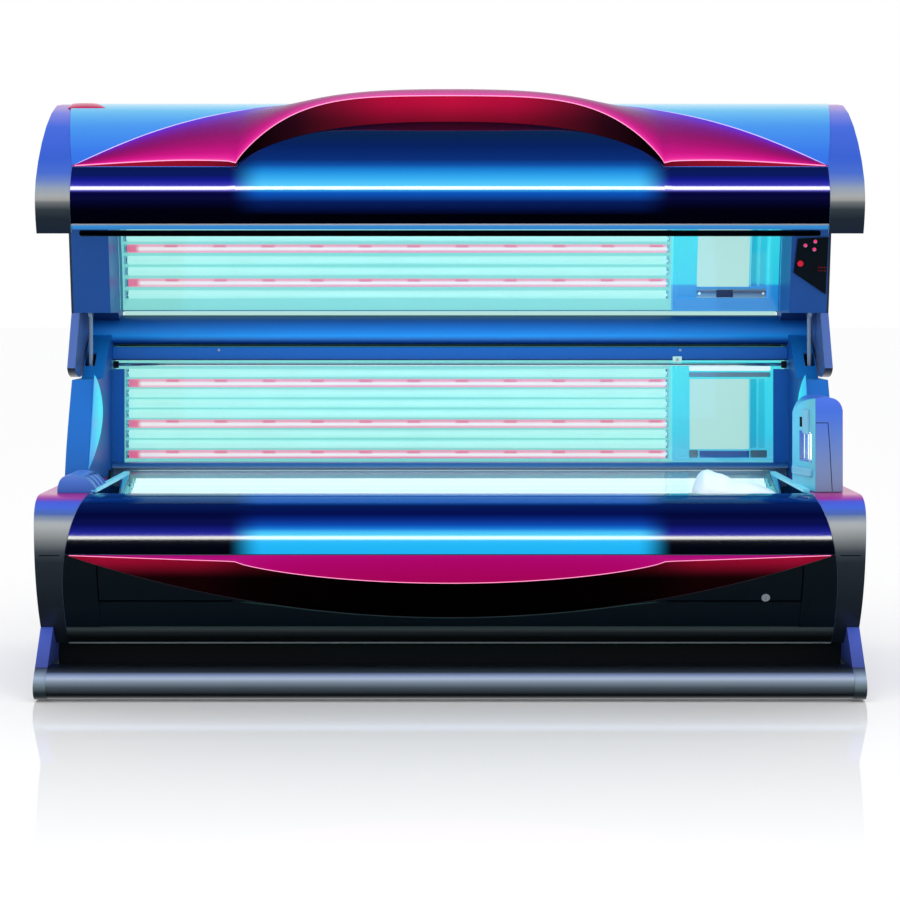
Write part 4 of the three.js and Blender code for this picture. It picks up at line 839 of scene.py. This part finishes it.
def lensBead(name, heightOf, proudOf, radius, finish):
    # a half-round line laid along the lens; the crease line glows as a painted highlight
    def place(u, v):
        angle = (v - 0.5) * math.pi
        x = lens["tip"] * math.sin((u - 0.5) * math.pi) * 0.995
        return onFront(x, heightOf(x) + radius * math.sin(angle), proudOf(x) + radius * (math.cos(angle) - 0.4))

    sheetPiece(name, 110, 6, place, 0.6, finish, "bed", bevel=0)


def makeLowerAccent():
    def place(u, v):
        x = lens["tip"] * math.sin((u - 0.5) * math.pi) * 0.999
        top, crease, foot, peak = lens["top"], creaseLine(x), min(creaseLine(x) - 0.5, lensFoot(x)), lensPeak(x)
        share = 2 * (1 - v)
        if share <= 1:
            return onFront(x, top + (crease - top) * share, 2 + (peak - 2) * share ** 0.8)
        return onFront(x, crease + (foot - crease) * (share - 1), 2 + (peak - 2) * (2 - share) ** 0.75)

    accent = sheetPiece("lowerAccent", 110, 32, place, lens["wall"] / 4, "lens", "bed",
                        under="under", split=0.5)
    accent.modifiers["edge"].angle_limit = math.radians(24)
    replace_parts(accent, "lower_accent")
    lensBead("lensCreaseLine", creaseLine, lensPeak, 1.0, "pinkHighlight")
    lensBead("lensFootLine", lambda x: min(creaseLine(x) - 0.5, lensFoot(x)), lambda x: 2.0, 0.9, "footLine")


makeLowerCover()
makeLowerAccent()
print("lower shells made")


# Lamp banks

lamps = {"radius": 13, "start": -1008, "end": 680, "ferrule": 10, "holder": 5, "pitch": 31.6, "sides": 24}
archLine = [
    ((-468, 1316), (-440, 1440), (-300, 1545), (-110, 1545)),
    ((-110, 1545), (90, 1545), (235, 1330), (250, 1066)),
]
benchLine = [((-422, 556), (-222, 486), (15, 486), (235, 575))]


def lampBank(name, places, pink, x0, x1, body, node, finish="lamp"):
    # glass tubes, ferrules and the two holder strips are separate pieces
    glass = {True: bmesh.new(), False: bmesh.new()}
    ends = bmesh.new()
    strips = bmesh.new()
    for i, (y, z) in enumerate(places):
        ferrule, holder, radius = lamps["ferrule"], lamps["holder"], lamps["radius"]
        addRod(glass[i in pink], radius, (x0 + ferrule, y, z), (x1 - ferrule, y, z), lamps["sides"])
        for start in (x0 + holder, x1 - ferrule):
            addRod(ends, radius - 0.6, (start, y, z), (start + ferrule - holder, y, z), lamps["sides"])
        for start in (x0, x1 - holder):
            addBox(strips, (start, start + holder), (y - radius, y + radius), (z - radius, z + radius))
    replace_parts(meshPiece(f"{name}Uv", glass[False], finishes[finish], body), node)
    if pink:
        meshPiece(f"{name}Red", glass[True], finishes["pinkLamp"], body)
    meshPiece(f"{name}Ferrules", ends, finishes["mirror"], body, bevel=0.8)
    meshPiece(f"{name}Holders", strips, finishes["holder"], body, bevel=1.5)


def offsetPlaces(curves, start, end, count, proud):
    made = []
    for i in range(count):
        y, z, ny, nz = station(curves, start + (end - start) * i / (count - 1))
        made.append((y + ny * proud, z + nz * proud))
    return made


def pitchedPlaces(curves, start, end, proud, pitch, anchor):
    # places at an even pitch along the back of a bank, counted from the one at the anchor height
    fine = offsetPlaces(curves, start, end, 600, proud)
    run = [0.0]
    for a, b in zip(fine, fine[1:]):
        run.append(run[-1] + math.dist(a, b))
    zero = run[min(range(300, 600), key=lambda i: abs(fine[i][1] - anchor))]
    made = []
    for k in range(-40, 40):
        want = zero + k * pitch
        if 0 <= want <= run[-1]:
            made.append(fine[min(range(600), key=lambda i: abs(run[i] - want))])
    return made


canopyPlaces = pitchedPlaces(archLine, 0.27, 1.975, 34, 36.4, 1261)
benchPlaces = offsetPlaces(benchLine, 0.04, 0.96, 19, -32)
backPlaces = [(288, 621 + i * lamps["pitch"]) for i in range(9)]
pinkHeights = (1261, 1151)
canopyPink = [min(range(len(canopyPlaces) // 2, len(canopyPlaces)), key=lambda i: abs(canopyPlaces[i][1] - height))
              for height in pinkHeights]
lampBank("canopyLamps", canopyPlaces, [3, 8, 13, *canopyPink], lamps["start"], lamps["end"], "canopy",
         "canopy_lamp_bank")
lampBank("backLamps", backPlaces, [0, 3, 7], lamps["start"], lamps["end"], "bed", "back_lamp_bank")
lampBank("benchLamps", benchPlaces, [], -977, 977, "bed", "bench_lamp_bank", "bench")
print("lamp banks made")


# Trims, seals, and black strips of painted shade along the seams

lipTrim = {"strip": (0.13, 0.265), "bead": 0.287, "beadRadius": 2.4, "barHalf": 1023, "barY": (-497, -469),
           "barZ": (1277, 1293.5), "half": 1042}
tailSeal = {"x": (-1021, 1021), "y": (331.5, 336.5), "z": (1053, 1065.5)}
frameStrips = {"Foot": (-1045.4, -1009), "Head": (1002, 1045.4)}
wedge = {"x": (-1100, -992), "along": (1.79, 1.92), "dome": 4}
seams = {"x": 969.85, "width": 3.4, "low": 268.2, "high": 403, "flapFrom": 600}


def makeCanopyTrim():
    low, high = lipTrim["strip"]
    sheetPiece("lipStrip", 8, 4, lambda u, v: onCanopy((2 * u - 1) * lipTrim["half"], low + (high - low) * v, -1.2),
               2.0, "lipBlue", "canopy", bevel=0.4)
    y, z, ny, nz = station(canopyOuter, lipTrim["bead"])
    bead = bmesh.new()
    addRod(bead, lipTrim["beadRadius"], (-lipTrim["half"], y, z), (lipTrim["half"], y, z), 12)
    meshPiece("lipBead", bead, finishes["satin"], "canopy")
    # a bar under the lip's edge, black: painted shade under the lip
    half = lipTrim["barHalf"]
    darkBar = boxPiece("lipSeal", (-half, half), lipTrim["barY"], lipTrim["barZ"], "shadeBlack", "canopy", 7)
    darkBar.modifiers["edge"].segments = 4
    boxPiece("tailSeal", tailSeal["x"], tailSeal["y"], tailSeal["z"], "mint", "canopy", 1.2)
    (x0, x1), (low, high) = wedge["x"], wedge["along"]

    def wedgePlace(u, v):
        x, along = x0 + (x1 - x0) * u * (1 - 0.35 * v), low + (high - low) * v
        dome = wedge["dome"] * (math.sin(math.pi * u) * math.sin(math.pi * v)) ** 0.4
        return onCanopy(x, along, 1.2 + dome)
    sheetPiece("topWedge", 16, 16, wedgePlace, 2.4, "wedge", "canopy", bevel=0.3)


def makeFrameTrim():
    for tag, x in frameStrips.items():
        boxPiece(f"backFrame{tag}", x, (256.2, 261.5), (597.6, 887), "frame", "bed", 1.2)
    screws = bmesh.new()
    for x, z in ((-716, 946), (713, 946), (704, 916)):
        addRod(screws, 4.6, (x, 250.8, z), (x, 253.9, z), 16)
    meshPiece("crossbarScrews", screws, finishes["satin"], "bed", bevel=0.9)
    boxPiece("rodClip", (690, 718), (251.6, 253.8), (908, 926), "mint", "bed", 0.8)
    clamps = bmesh.new()
    for side in (-1, 1):
        addRod(clamps, 10.9, (side * 1026, 251, 901), (side * 1042, 251, 901), 24)
    meshPiece("rodClamps", clamps, finishes["rubber"], "bed", bevel=1.5)
    slots = bmesh.new()
    for side in (-1, 1):
        addBox(slots, (side * 1094 - 12, side * 1094 + 12), (160, 163), (720, 936))
    meshPiece("strutSlots", slots, finishes["rubber"], "bed", bevel=0.6)


def makeSeams():
    # black strips along the panel and flap seams: painted shade
    width, low, high = seams["width"], seams["low"], seams["high"]
    for tag, side in (("Foot", -1), ("Head", 1)):
        def upright(u, v):
            return onFront(side * seams["x"] + width * (u - 0.5), low + (high - low) * v, 0.35)
        sheetPiece(f"panelSeam{tag}", 1, 14, upright, 0.3, "shadeBlack", "bed", bevel=0)

        def level(u, v):
            reach = seams["flapFrom"] + (seams["x"] - seams["flapFrom"]) * (u if side > 0 else 1 - u)
            return onFront(side * reach, low + width * v, 0.35)
        sheetPiece(f"flapSeam{tag}", 4, 1, level, 0.3, "shadeBlack", "bed", bevel=0)


makeCanopyTrim()
makeFrameTrim()
makeSeams()
print("trims made")


# Face and shoulder tanners

faceUnit = {"pane": (706, 759), "plate": (765, 926), "along": (1.47, 1.905), "bracket": (1.912, 1.948),
            "bracketX": (764, 978), "leaves": ((930, 954), (957, 981)), "proud": (18, 44)}
shoulderUnit = {"pane": (702, 738), "plate": (746, 930), "z": (612, 899), "plateZ": (637, 855), "y": 283}


def onArch(x, along, proud):
    y, z, ny, nz = station(archLine, along)
    return x, y + ny * proud, z + nz * proud


def archSheet(name, x, along, proud, finish, wall=2.0):
    # proud is given at both ends of x, so that a leaf can slant
    def place(u, v):
        return onArch(x[0] + (x[1] - x[0]) * u, along[0] + (along[1] - along[0]) * v,
                      proud[0] + (proud[1] - proud[0]) * u)
    sheetPiece(name, 2, 20, place, wall, finish, "canopy", bevel=0.5)


def makeFaceUnit():
    near, far = faceUnit["proud"]
    archSheet("facePane", faceUnit["pane"], faceUnit["along"], (near - 4, near - 4), "cyan")
    archSheet("facePlate", faceUnit["plate"], faceUnit["along"], (near, near), "mint")
    for i, x in enumerate(faceUnit["leaves"]):
        archSheet(f"faceLeaf{i + 1}", x, faceUnit["along"], (near, far), "mirror")
    archSheet("faceBracket", faceUnit["bracketX"], faceUnit["bracket"], (9, 9), "chromePaintedReflection", 3.0)
    dots = bmesh.new()
    for i in range(6):
        for j in range(9):
            start = onArch(842 + i * 13, 1.68 + j * 0.02, near - 0.4)
            addRod(dots, 2.6, start, (start[0], start[1] + 2, start[2]), 10)
    meshPiece("facePerforation", dots, finishes["reflector"], "canopy")
    bits = bmesh.new()
    x, y, z = onArch(850, 1.93, 4.5)
    addBox(bits, (824, 876), (y - 1, y + 3), (z - 12, z + 12))
    meshPiece("faceLatch", bits, finishes["navy"], "canopy", bevel=3.0)
    screws = bmesh.new()
    for place in (772, 970):
        x, y, z = onArch(place, 1.93, 5.5)
        addRod(screws, 4.5, (x, y, z), (x, y + 4, z), 16)
    meshPiece("faceScrews", screws, finishes["chrome"], "canopy", bevel=0.8)


def makeShoulderUnit():
    y = shoulderUnit["y"]
    boxPiece("shoulderPane", shoulderUnit["pane"], (y - 8, y - 6), shoulderUnit["z"], "cyan", "bed", 0.6)
    boxPiece("shoulderPlate", shoulderUnit["plate"], (y, y + 2), shoulderUnit["plateZ"], "mint", "bed",
             0.6)
    boxPiece("shoulderLamp", (744, 996), (y - 8, y + 4), (881, 896), "white", "bed", 4)
    boxPiece("shoulderBar", (744, 996), (y - 4, y + 4), (862, 876), "sill", "bed", 1.0)
    boxPiece("shoulderSill", (776, 930), (y - 6, y + 2), (606, 632), "frame", "bed", 1.0)
    ends = bmesh.new()
    addBox(ends, (744, 771), (y - 7, y + 2), (606, 634))
    addBox(ends, (934, 985), (y - 7, y + 2), (606, 634))
    meshPiece("shoulderBrackets", ends, finishes["cast"], "bed", bevel=2.0)
    for i, (x0, x1) in enumerate(((933, 955), (958, 980))):
        def place(u, v):
            return x0 + (x1 - x0) * u, y - 8 + 20 * u, 640 + 215 * v
        sheetPiece(f"shoulderLeaf{i + 1}", 2, 2, place, 1.5, "mirror", "bed", bevel=0.4)


makeFaceUnit()
makeShoulderUnit()
print("tanner units made")


# Head pod, foot end and controls

pod = {"corner": (1022, -400), "reach": 186.5, "lean": (-0.193, 0.981), "window": (32, 124, 646, 726), "deep": -29.5}
notches = {"x": (-1016, -1006), "y": (-402, -208, -22), "z": (566, 594), "long": 34}
railCaps = {"x": (985.4, 1004.2), "y": (-420, 205), "z": (563, 574)}
columnPane = {"x": 1044.9, "foot": (-206, 612), "top": (-102, 882), "bulge": 205}


def onPod(along, out, z):
    # a place on the pod's inner face, which leans to the bench
    leanX, leanY = pod["lean"]
    return pod["corner"][0] + leanX * along - leanY * out, pod["corner"][1] + leanY * along + leanX * out, z


def podBlock(name, along, out, z, finish, bevel):
    bm = bmesh.new()
    made = bmesh.ops.create_cube(bm, size=1.0)["verts"]
    for vert in made:
        u, v, w = vert.co.x + 0.5, vert.co.y + 0.5, vert.co.z + 0.5
        vert.co = Vector(onPod(along[0] + (along[1] - along[0]) * u, out[0] + (out[1] - out[0]) * v,
                               z[0] + (z[1] - z[0]) * w)) * mm
    bmesh.ops.recalc_face_normals(bm, faces=bm.faces[:])
    piece = meshPiece(name, bm, finishes[finish], "bed", bevel)
    piece.modifiers["edge"].segments = 4
    return piece


def makePodDetails():
    low, high, foot, top = pod["window"]
    podBlock("podGlow", (low, high), (pod["deep"] - 0.4, pod["deep"]), (foot, top), "podWhite", 0.1)
    podBlock("podTongue", (44, 92), (-0.5, 5), (722, 792), "podPale", 2.4)
    # the slot and the seam lines below are black: painted shade
    podBlock("podSlot", (100, 122), (-0.5, 0.8), (740, 768), "shadeBlack", 0.6)
    podBlock("podLip", (18, 168), (-0.5, 9), (604, 626), "podPale", 4)
    shadeBlack = bmesh.new()
    for start, end in (((1058, 757), (1063, 690)), ((1063, 690), (1070, 566)), ((1024, 757), (1058, 757))):
        addRod(shadeBlack, 0.9, (start[0], -400.1, start[1]), (end[0], -400.1, end[1]), 8)
    meshPiece("podSeams", shadeBlack, finishes["shadeBlack"], "bed")


def makeFootDetails():
    bm = bmesh.new()
    low, high = notches["z"]
    for y in notches["y"]:
        made = addBox(bm, notches["x"], (y - notches["long"] / 2, y + notches["long"] / 2), (low, high))
        for vert in made:
            if vert.co.z > (low + high) / 2 * mm:
                vert.co.y = (y + notches["long"] * 0.45) * mm
    meshPiece("footNotches", bm, finishes["rubber"], "bed", bevel=0.8)
    caps = bmesh.new()
    for side in (-1, 1):
        x = sorted(side * edge for edge in railCaps["x"])
        addBox(caps, x, railCaps["y"], railCaps["z"])
    meshPiece("benchRailCaps", caps, finishes["paleCyan"], "bed", bevel=3.0)
    (footY, footZ), (topY, topZ) = columnPane["foot"], columnPane["top"]
    for tag, side in (("Foot", -1), ("Head", 1)):
        def place(u, v):
            depth = columnPane["bulge"] * math.sin(math.pi * v) ** 0.8
            reach = u if side > 0 else 1 - u
            return side * columnPane["x"], footY + (topY - footY) * v + 3 + depth * reach, footZ + (topZ - footZ) * v
        sheetPiece(f"columnPane{tag}", 10, 30, place, 0.8, "paneCyan", "bed", bevel=0)


def makeControls():
    # small lights in the keypad buttons, and a dim readout beside them
    faces = {}
    for button in ("upper", "middle", "lower"):
        low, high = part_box(f"{button}_button")
        faces[button] = ((low.x + high.x) * 500, low.y * 1000, (low.z + high.z) * 500)
        x, y, z = faces[button]
        bm = bmesh.new()
        addRod(bm, 4.6, (x, y - 0.9, z), (x, y + 2.2, z), 20)
        meshPiece(f"{button}Light", bm, finishes["led"], button, bevel=0.8)
    low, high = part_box("lower_button")
    readout = bmesh.new()
    for i in range(3):
        x = 1100 + i * 9
        addBox(readout, (x, x + 5), (low.y * 1000 - 4.5, low.y * 1000 + 1), (1196, 1200))
        addBox(readout, (x, x + 5), (low.y * 1000 - 5.5, low.y * 1000 + 1), (1187, 1190))
    meshPiece("readout", readout, finishes["dimRed"], "canopy", bevel=0.4)


makePodDetails()
makeFootDetails()
makeControls()
print("fittings made")


# Back and ends

rear = {"y": 550.2, "ventX": (380, 880), "ventZ": 596, "pitch": 24, "slats": 9, "seamX": 330, "seamZ": (194, 826),
        "fanZ": 480, "rings": (48, 66, 84, 102, 117), "wire": 1.8}
capSeam = {"x": (1071, 1127), "z": 399, "width": 2.2}
sideLine = {"x": 1140.1, "y": (-440, 380), "z": (397, 400)}


def addRing(bm, radius, wire, centre):
    # a wire ring about an axis along Y
    made = bmesh.ops.create_circle(bm, cap_ends=False, segments=8, radius=wire * mm)["verts"]
    bmesh.ops.translate(bm, verts=made, vec=(Vector(centre) + Vector((radius, 0, 0))) * mm)
    edges = list({edge for vert in made for edge in vert.link_edges})
    bmesh.ops.spin(bm, geom=made + edges, cent=Vector(centre) * mm, axis=(0, 1, 0), angle=2 * math.pi, steps=48,
                   use_merge=True)


def makeRear():
    y = rear["y"]
    guard = bmesh.new()
    for radius in rear["rings"]:
        addRing(guard, radius, rear["wire"], (0, y + 2, rear["fanZ"]))
    bmesh.ops.recalc_face_normals(guard, faces=guard.faces[:])
    meshPiece("fanGuard", guard, finishes["satin"], "bed")
    slats = bmesh.new()
    # the black strips along the rear panel seams are painted shade
    seamStrips = bmesh.new()
    screws = bmesh.new()
    for side in (-1, 1):
        x = sorted(side * edge for edge in rear["ventX"])
        for i in range(rear["slats"]):
            foot = rear["ventZ"] + i * rear["pitch"]
            made = addBox(slats, x, (y, y + 6), (foot, foot + 14))
            for vert in made:
                if vert.co.z > (foot + 7) * mm and vert.co.y > (y + 3) * mm:
                    vert.co.y = (y + 1) * mm
        addBox(seamStrips, (side * rear["seamX"] - 1.5, side * rear["seamX"] + 1.5), (y, y + 0.5), rear["seamZ"])
        for reach in (rear["seamX"] + 26, 1082):
            for z in (226, 520, 806):
                addRod(screws, 6, (side * reach, y - 0.2, z), (side * reach, y + 2.4, z), 16)
    meshPiece("rearSlats", slats, finishes["rubber"], "bed", bevel=1.2)
    meshPiece("rearSeams", seamStrips, finishes["shadeBlack"], "bed", bevel=0.2)
    meshPiece("rearScrews", screws, finishes["satin"], "bed", bevel=1.0)


def makeCapSeams():
    # black strips along the end cap seams and sides: painted shade
    lines = bmesh.new()
    for tag, side in (("Foot", -1), ("Head", 1)):
        def place(u, v):
            x0, x1 = capSeam["x"]
            reach = x0 + (x1 - x0) * (u if side > 0 else 1 - u)
            return onFront(side * reach, capSeam["z"] + capSeam["width"] * v, 0.35)
        sheetPiece(f"capSeam{tag}", 6, 1, place, 0.3, "shadeBlack", "bed", bevel=0)
        x = sorted((side * sideLine["x"], side * (sideLine["x"] + 0.5)))
        addBox(lines, x, sideLine["y"], sideLine["z"])
    meshPiece("capSideLines", lines, finishes["shadeBlack"], "bed", bevel=0.2)


makeRear()
makeCapSeams()
print("back and ends made")


# Head cushion

cushion = {"x": (702, 944), "y": (-322, -110), "tall": [(-1, 62), (-0.78, 100), (-0.45, 82), (0.1, 58), (1, 34)],
           "cuts": 23, "voxel": 5, "pressure": 4.0, "frames": 20, "cap": 7, "fill": 0.6, "lift": 1.0}


def benchTop(y):
    share = min(1.0, max(0.0, (y + 422) / 657))
    for _ in range(12):
        share = min(1.0, max(0.0, share - (bezierPoint(benchLine[0], share)[0] - y) / bezierSlope(benchLine[0], share)[0]))
    return bezierPoint(benchLine[0], share)[1]


def cushionTall(a):
    stops = cushion["tall"]
    for (p, low), (q, high) in zip(stops, stops[1:]):
        if a <= q:
            share = (a - p) / (q - p)
            return low + (high - low) * share * share * (3 - 2 * share)
    return stops[-1][1]


def settledMesh(piece):
    # what the modifiers make of a piece at this frame, as a mesh of its own
    ready = piece.evaluated_get(bpy.context.evaluated_depsgraph_get())
    return bpy.data.meshes.new_from_object(ready)


def inflate(piece):
    # the cover blown up a little as cloth, and kept where it settles
    start = [vert.co.copy() for vert in piece.data.vertices]
    cloth = piece.modifiers.new("cloth", "CLOTH")
    cloth.settings.use_pressure = True
    cloth.settings.uniform_pressure_force = cushion["pressure"]
    cloth.settings.effector_weights.gravity = 0
    cloth.point_cache.frame_start = 1
    cloth.point_cache.frame_end = cushion["frames"]
    for step in range(1, cushion["frames"] + 1):
        scene.frame_set(step)
    blown = settledMesh(piece)
    scene.frame_set(1)
    piece.modifiers.remove(cloth)
    for vert, before in zip(blown.vertices, start):
        move = vert.co - before
        if move.length > cushion["cap"] * mm:
            vert.co = before + move.normalized() * cushion["cap"] * mm
        floor = (benchTop(vert.co.y / mm) + cushion["lift"]) * mm
        vert.co.z = max(vert.co.z, floor)
    piece.data = blown


def makeHeadCushion():
    bm = bmesh.new()
    bmesh.ops.create_cube(bm, size=2.0)
    bmesh.ops.subdivide_edges(bm, edges=bm.edges[:], cuts=cushion["cuts"], use_grid_fill=True)
    (x0, x1), (y0, y1) = cushion["x"], cushion["y"]
    for vert in bm.verts:
        a, b, c = vert.co
        round6 = (1 + 0.16 * max(0.0, abs(a) ** 6 + abs(b) ** 6 - 1)) ** -0.6
        x = (x0 + x1) / 2 + (x1 - x0) / 2 * a * round6
        y = (y0 + y1) / 2 + (y1 - y0) / 2 * b * round6
        edge = (1 - 0.6 * abs(b) ** 4) * (1 - 0.35 * abs(a) ** 10)
        dimple = 1 - 0.12 * max(0.0, 1 - b * b * 3) * max(0.0, 1 - (a - 0.2) ** 2 * 4)
        z = benchTop(y) + cushion["lift"] + cushionTall(a) * edge * dimple * (c + 1) / 2
        vert.co = Vector((x, y, z)) * mm
    pad = meshPiece("headCushion", bm, finishes["cover"], "bench_lid")
    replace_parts(pad, "head_cushion")
    remesh = pad.modifiers.new("remesh", "REMESH")
    remesh.mode = "VOXEL"
    remesh.voxel_size = cushion["voxel"] * mm
    shaped = settledMesh(pad)
    pad.modifiers.remove(remesh)
    pad.data = shaped
    inflate(pad)
    pad.data.materials.clear()
    pad.data.materials.append(finishes["cover"])
    for face in pad.data.polygons:
        face.use_smooth = True
    soft = pad.modifiers.new("soft", "SUBSURF")
    soft.levels = 1
    soft.render_levels = 1


makeHeadCushion()
print("cushion made")


# Floor, light and camera

stageSettings = {
    "cameraPlace": (0, -6.516, 1.101), "shift": -0.1667, "lens": 87.4,  # level camera, so uprights stay upright
    "floorColour": "#fbfbfc", "floorSize": 160.0, "mirror": 0.3, "mirrorNear": -0.6, "mirrorFar": -2.5,
    # what polished surfaces see, from straight down to straight up, in front of the bed and behind it
    "tentRadius": 130.0,
    "tentFront": [(-1, "#020304"), (-0.3, "#0a0d12"), (-0.06, "#20262c"), (0, "#3a424a"), (0.16, "#121826"),
                  (0.5, "#0e1d4e"), (0.86, "#1f5fdc"), (1, "#2f7ff0")],
    "tentBack": [(-1, "#e8ecf0"), (0, "#ffffff"), (0.32, "#ffffff"), (0.64, "#a8d8ff"), (0.88, "#3a86f0"),
                 (1, "#2f7ff0")],
}


def makeWorld():
    # an even white room that polished surfaces don't see
    world = bpy.data.worlds.new("studio")
    world.use_nodes = True
    room = world.node_tree.nodes["Background"]
    room.inputs["Color"].default_value = srgb("#ffffff")
    room.inputs["Strength"].default_value = 1.0
    scene.world = world
    world.cycles_visibility.glossy = False


def makeTent():
    # polished surfaces see a soft tent: dark in front, blue overhead and white behind
    material, tree, bsdf = newMaterial("tentCloth")
    coords = addNode(tree, "ShaderNodeTexCoord")
    way = addNode(tree, "ShaderNodeVectorMath", {"operation": "NORMALIZE"}, {0: coords.outputs["Object"]})
    place = addNode(tree, "ShaderNodeSeparateXYZ", None, {0: way.outputs[0]})
    behind = addNode(tree, "ShaderNodeMapRange", {"interpolation_type": "SMOOTHSTEP"},
                     {"Value": place.outputs["Y"], "From Min": -0.1, "From Max": 0.45})
    sides = addNode(tree, "ShaderNodeMix", {"data_type": "RGBA"},
                    {"Factor": behind.outputs[0], 6: tintRamp(tree, place.outputs["Z"], stageSettings["tentFront"]),
                     7: tintRamp(tree, place.outputs["Z"], stageSettings["tentBack"])})
    glow = addNode(tree, "ShaderNodeEmission", None, {"Color": sides.outputs[2], "Strength": 1.0})
    tree.links.new(glow.outputs[0], tree.nodes["Material Output"].inputs["Surface"])
    tree.nodes.remove(bsdf)
    material.cycles.emission_sampling = "NONE"
    bm = bmesh.new()
    bmesh.ops.create_uvsphere(bm, u_segments=48, v_segments=24, radius=stageSettings["tentRadius"])
    mesh = bpy.data.meshes.new("studioTent")
    bm.to_mesh(mesh)
    bm.free()
    mesh.materials.append(material)
    tent = bpy.data.objects.new("studioTent", mesh)
    scene.collection.objects.link(tent)
    tent.visible_camera = False
    tent.visible_diffuse = False
    tent.visible_transmission = False
    tent.visible_shadow = False


def floorMaterial():
    # white matt floor with a thin polish near the bed, which mirrors it faintly
    material, tree, bsdf = newMaterial("paleFloor")
    coords = addNode(tree, "ShaderNodeTexCoord")
    place = addNode(tree, "ShaderNodeSeparateXYZ", None, {0: coords.outputs["Object"]})
    near = addNode(tree, "ShaderNodeMapRange", None,
                   {"Value": place.outputs["Y"], "From Min": stageSettings["mirrorFar"],
                    "From Max": stageSettings["mirrorNear"], "To Max": stageSettings["mirror"]})
    matt = addNode(tree, "ShaderNodeBsdfDiffuse", None, {"Color": srgb(stageSettings["floorColour"])})
    polish = addNode(tree, "ShaderNodeBsdfGlossy", None, {"Color": srgb("#ffffff"), "Roughness": 0.04})
    mix = addNode(tree, "ShaderNodeMixShader", None,
                  {0: near.outputs[0], 1: matt.outputs[0], 2: polish.outputs[0]})
    tree.links.new(mix.outputs[0], tree.nodes["Material Output"].inputs["Surface"])
    tree.nodes.remove(bsdf)
    return material


def makeStage():
    bm = bmesh.new()
    bmesh.ops.create_grid(bm, x_segments=1, y_segments=1, size=stageSettings["floorSize"] / 2)
    mesh = bpy.data.meshes.new("studioFloor")
    bm.to_mesh(mesh)
    bm.free()
    floor = bpy.data.objects.new("studioFloor", mesh)
    scene.collection.objects.link(floor)
    mesh.materials.append(floorMaterial())
    floor.visible_glossy = False

    makeWorld()
    makeTent()
    camera = bpy.data.objects.new("camera", bpy.data.cameras.new("camera"))
    camera.location = stageSettings["cameraPlace"]
    camera.rotation_euler = (math.radians(90), 0, 0)
    camera.data.shift_y = stageSettings["shift"]
    camera.data.lens = stageSettings["lens"]
    scene.collection.objects.link(camera)
    scene.camera = camera
    scene.view_settings.view_transform = "Standard"


def softbox(name, place, aim, width, height, power, colour, diffuse=True, glossy=True, only=()):
    # only lists the pieces that the light falls on, when it isn't all of them
    light = bpy.data.lights.new(name, "AREA")
    light.shape = "RECTANGLE"
    light.size = width
    light.size_y = height
    light.energy = power
    light.color = srgb(colour)[:3]
    lamp = bpy.data.objects.new(name, light)
    lamp.location = place
    lamp.rotation_euler = (Vector(aim) - Vector(place)).to_track_quat("-Z", "Y").to_euler()
    lamp.visible_camera = False
    lamp.visible_diffuse = diffuse
    lamp.visible_glossy = glossy
    scene.collection.objects.link(lamp)
    if only:
        group = bpy.data.collections.new(f"{name}Receivers")
        for piece in only:
            group.objects.link(bpy.data.objects[piece])
        lamp.light_linking.receiver_collection = group


makeStage()
softbox("keyTop", (0, -2.2, 4.2), (0, 0, 0.8), 5.0, 2.4, 40, "#ffffff", glossy=False)
softbox("stripCanopy", (0, -2.9, 3.05), (0, -0.5, 1.4), 3.4, 0.5, 120, "#ffffff", diffuse=False,
        only=["canopyFrontCover"])
softbox("stripNose", (0, -1.9, 0.07), (0, -0.53, 0.45), 3.4, 0.06, 14, "#ffffff", diffuse=False,
        only=["lowerFrontCover"])
softbox("tunnelGlow", (0, -0.35, 0.95), (0, 0.26, 0.9), 1.8, 0.5, 4, "#38b8ff", glossy=False)
print("stage made")
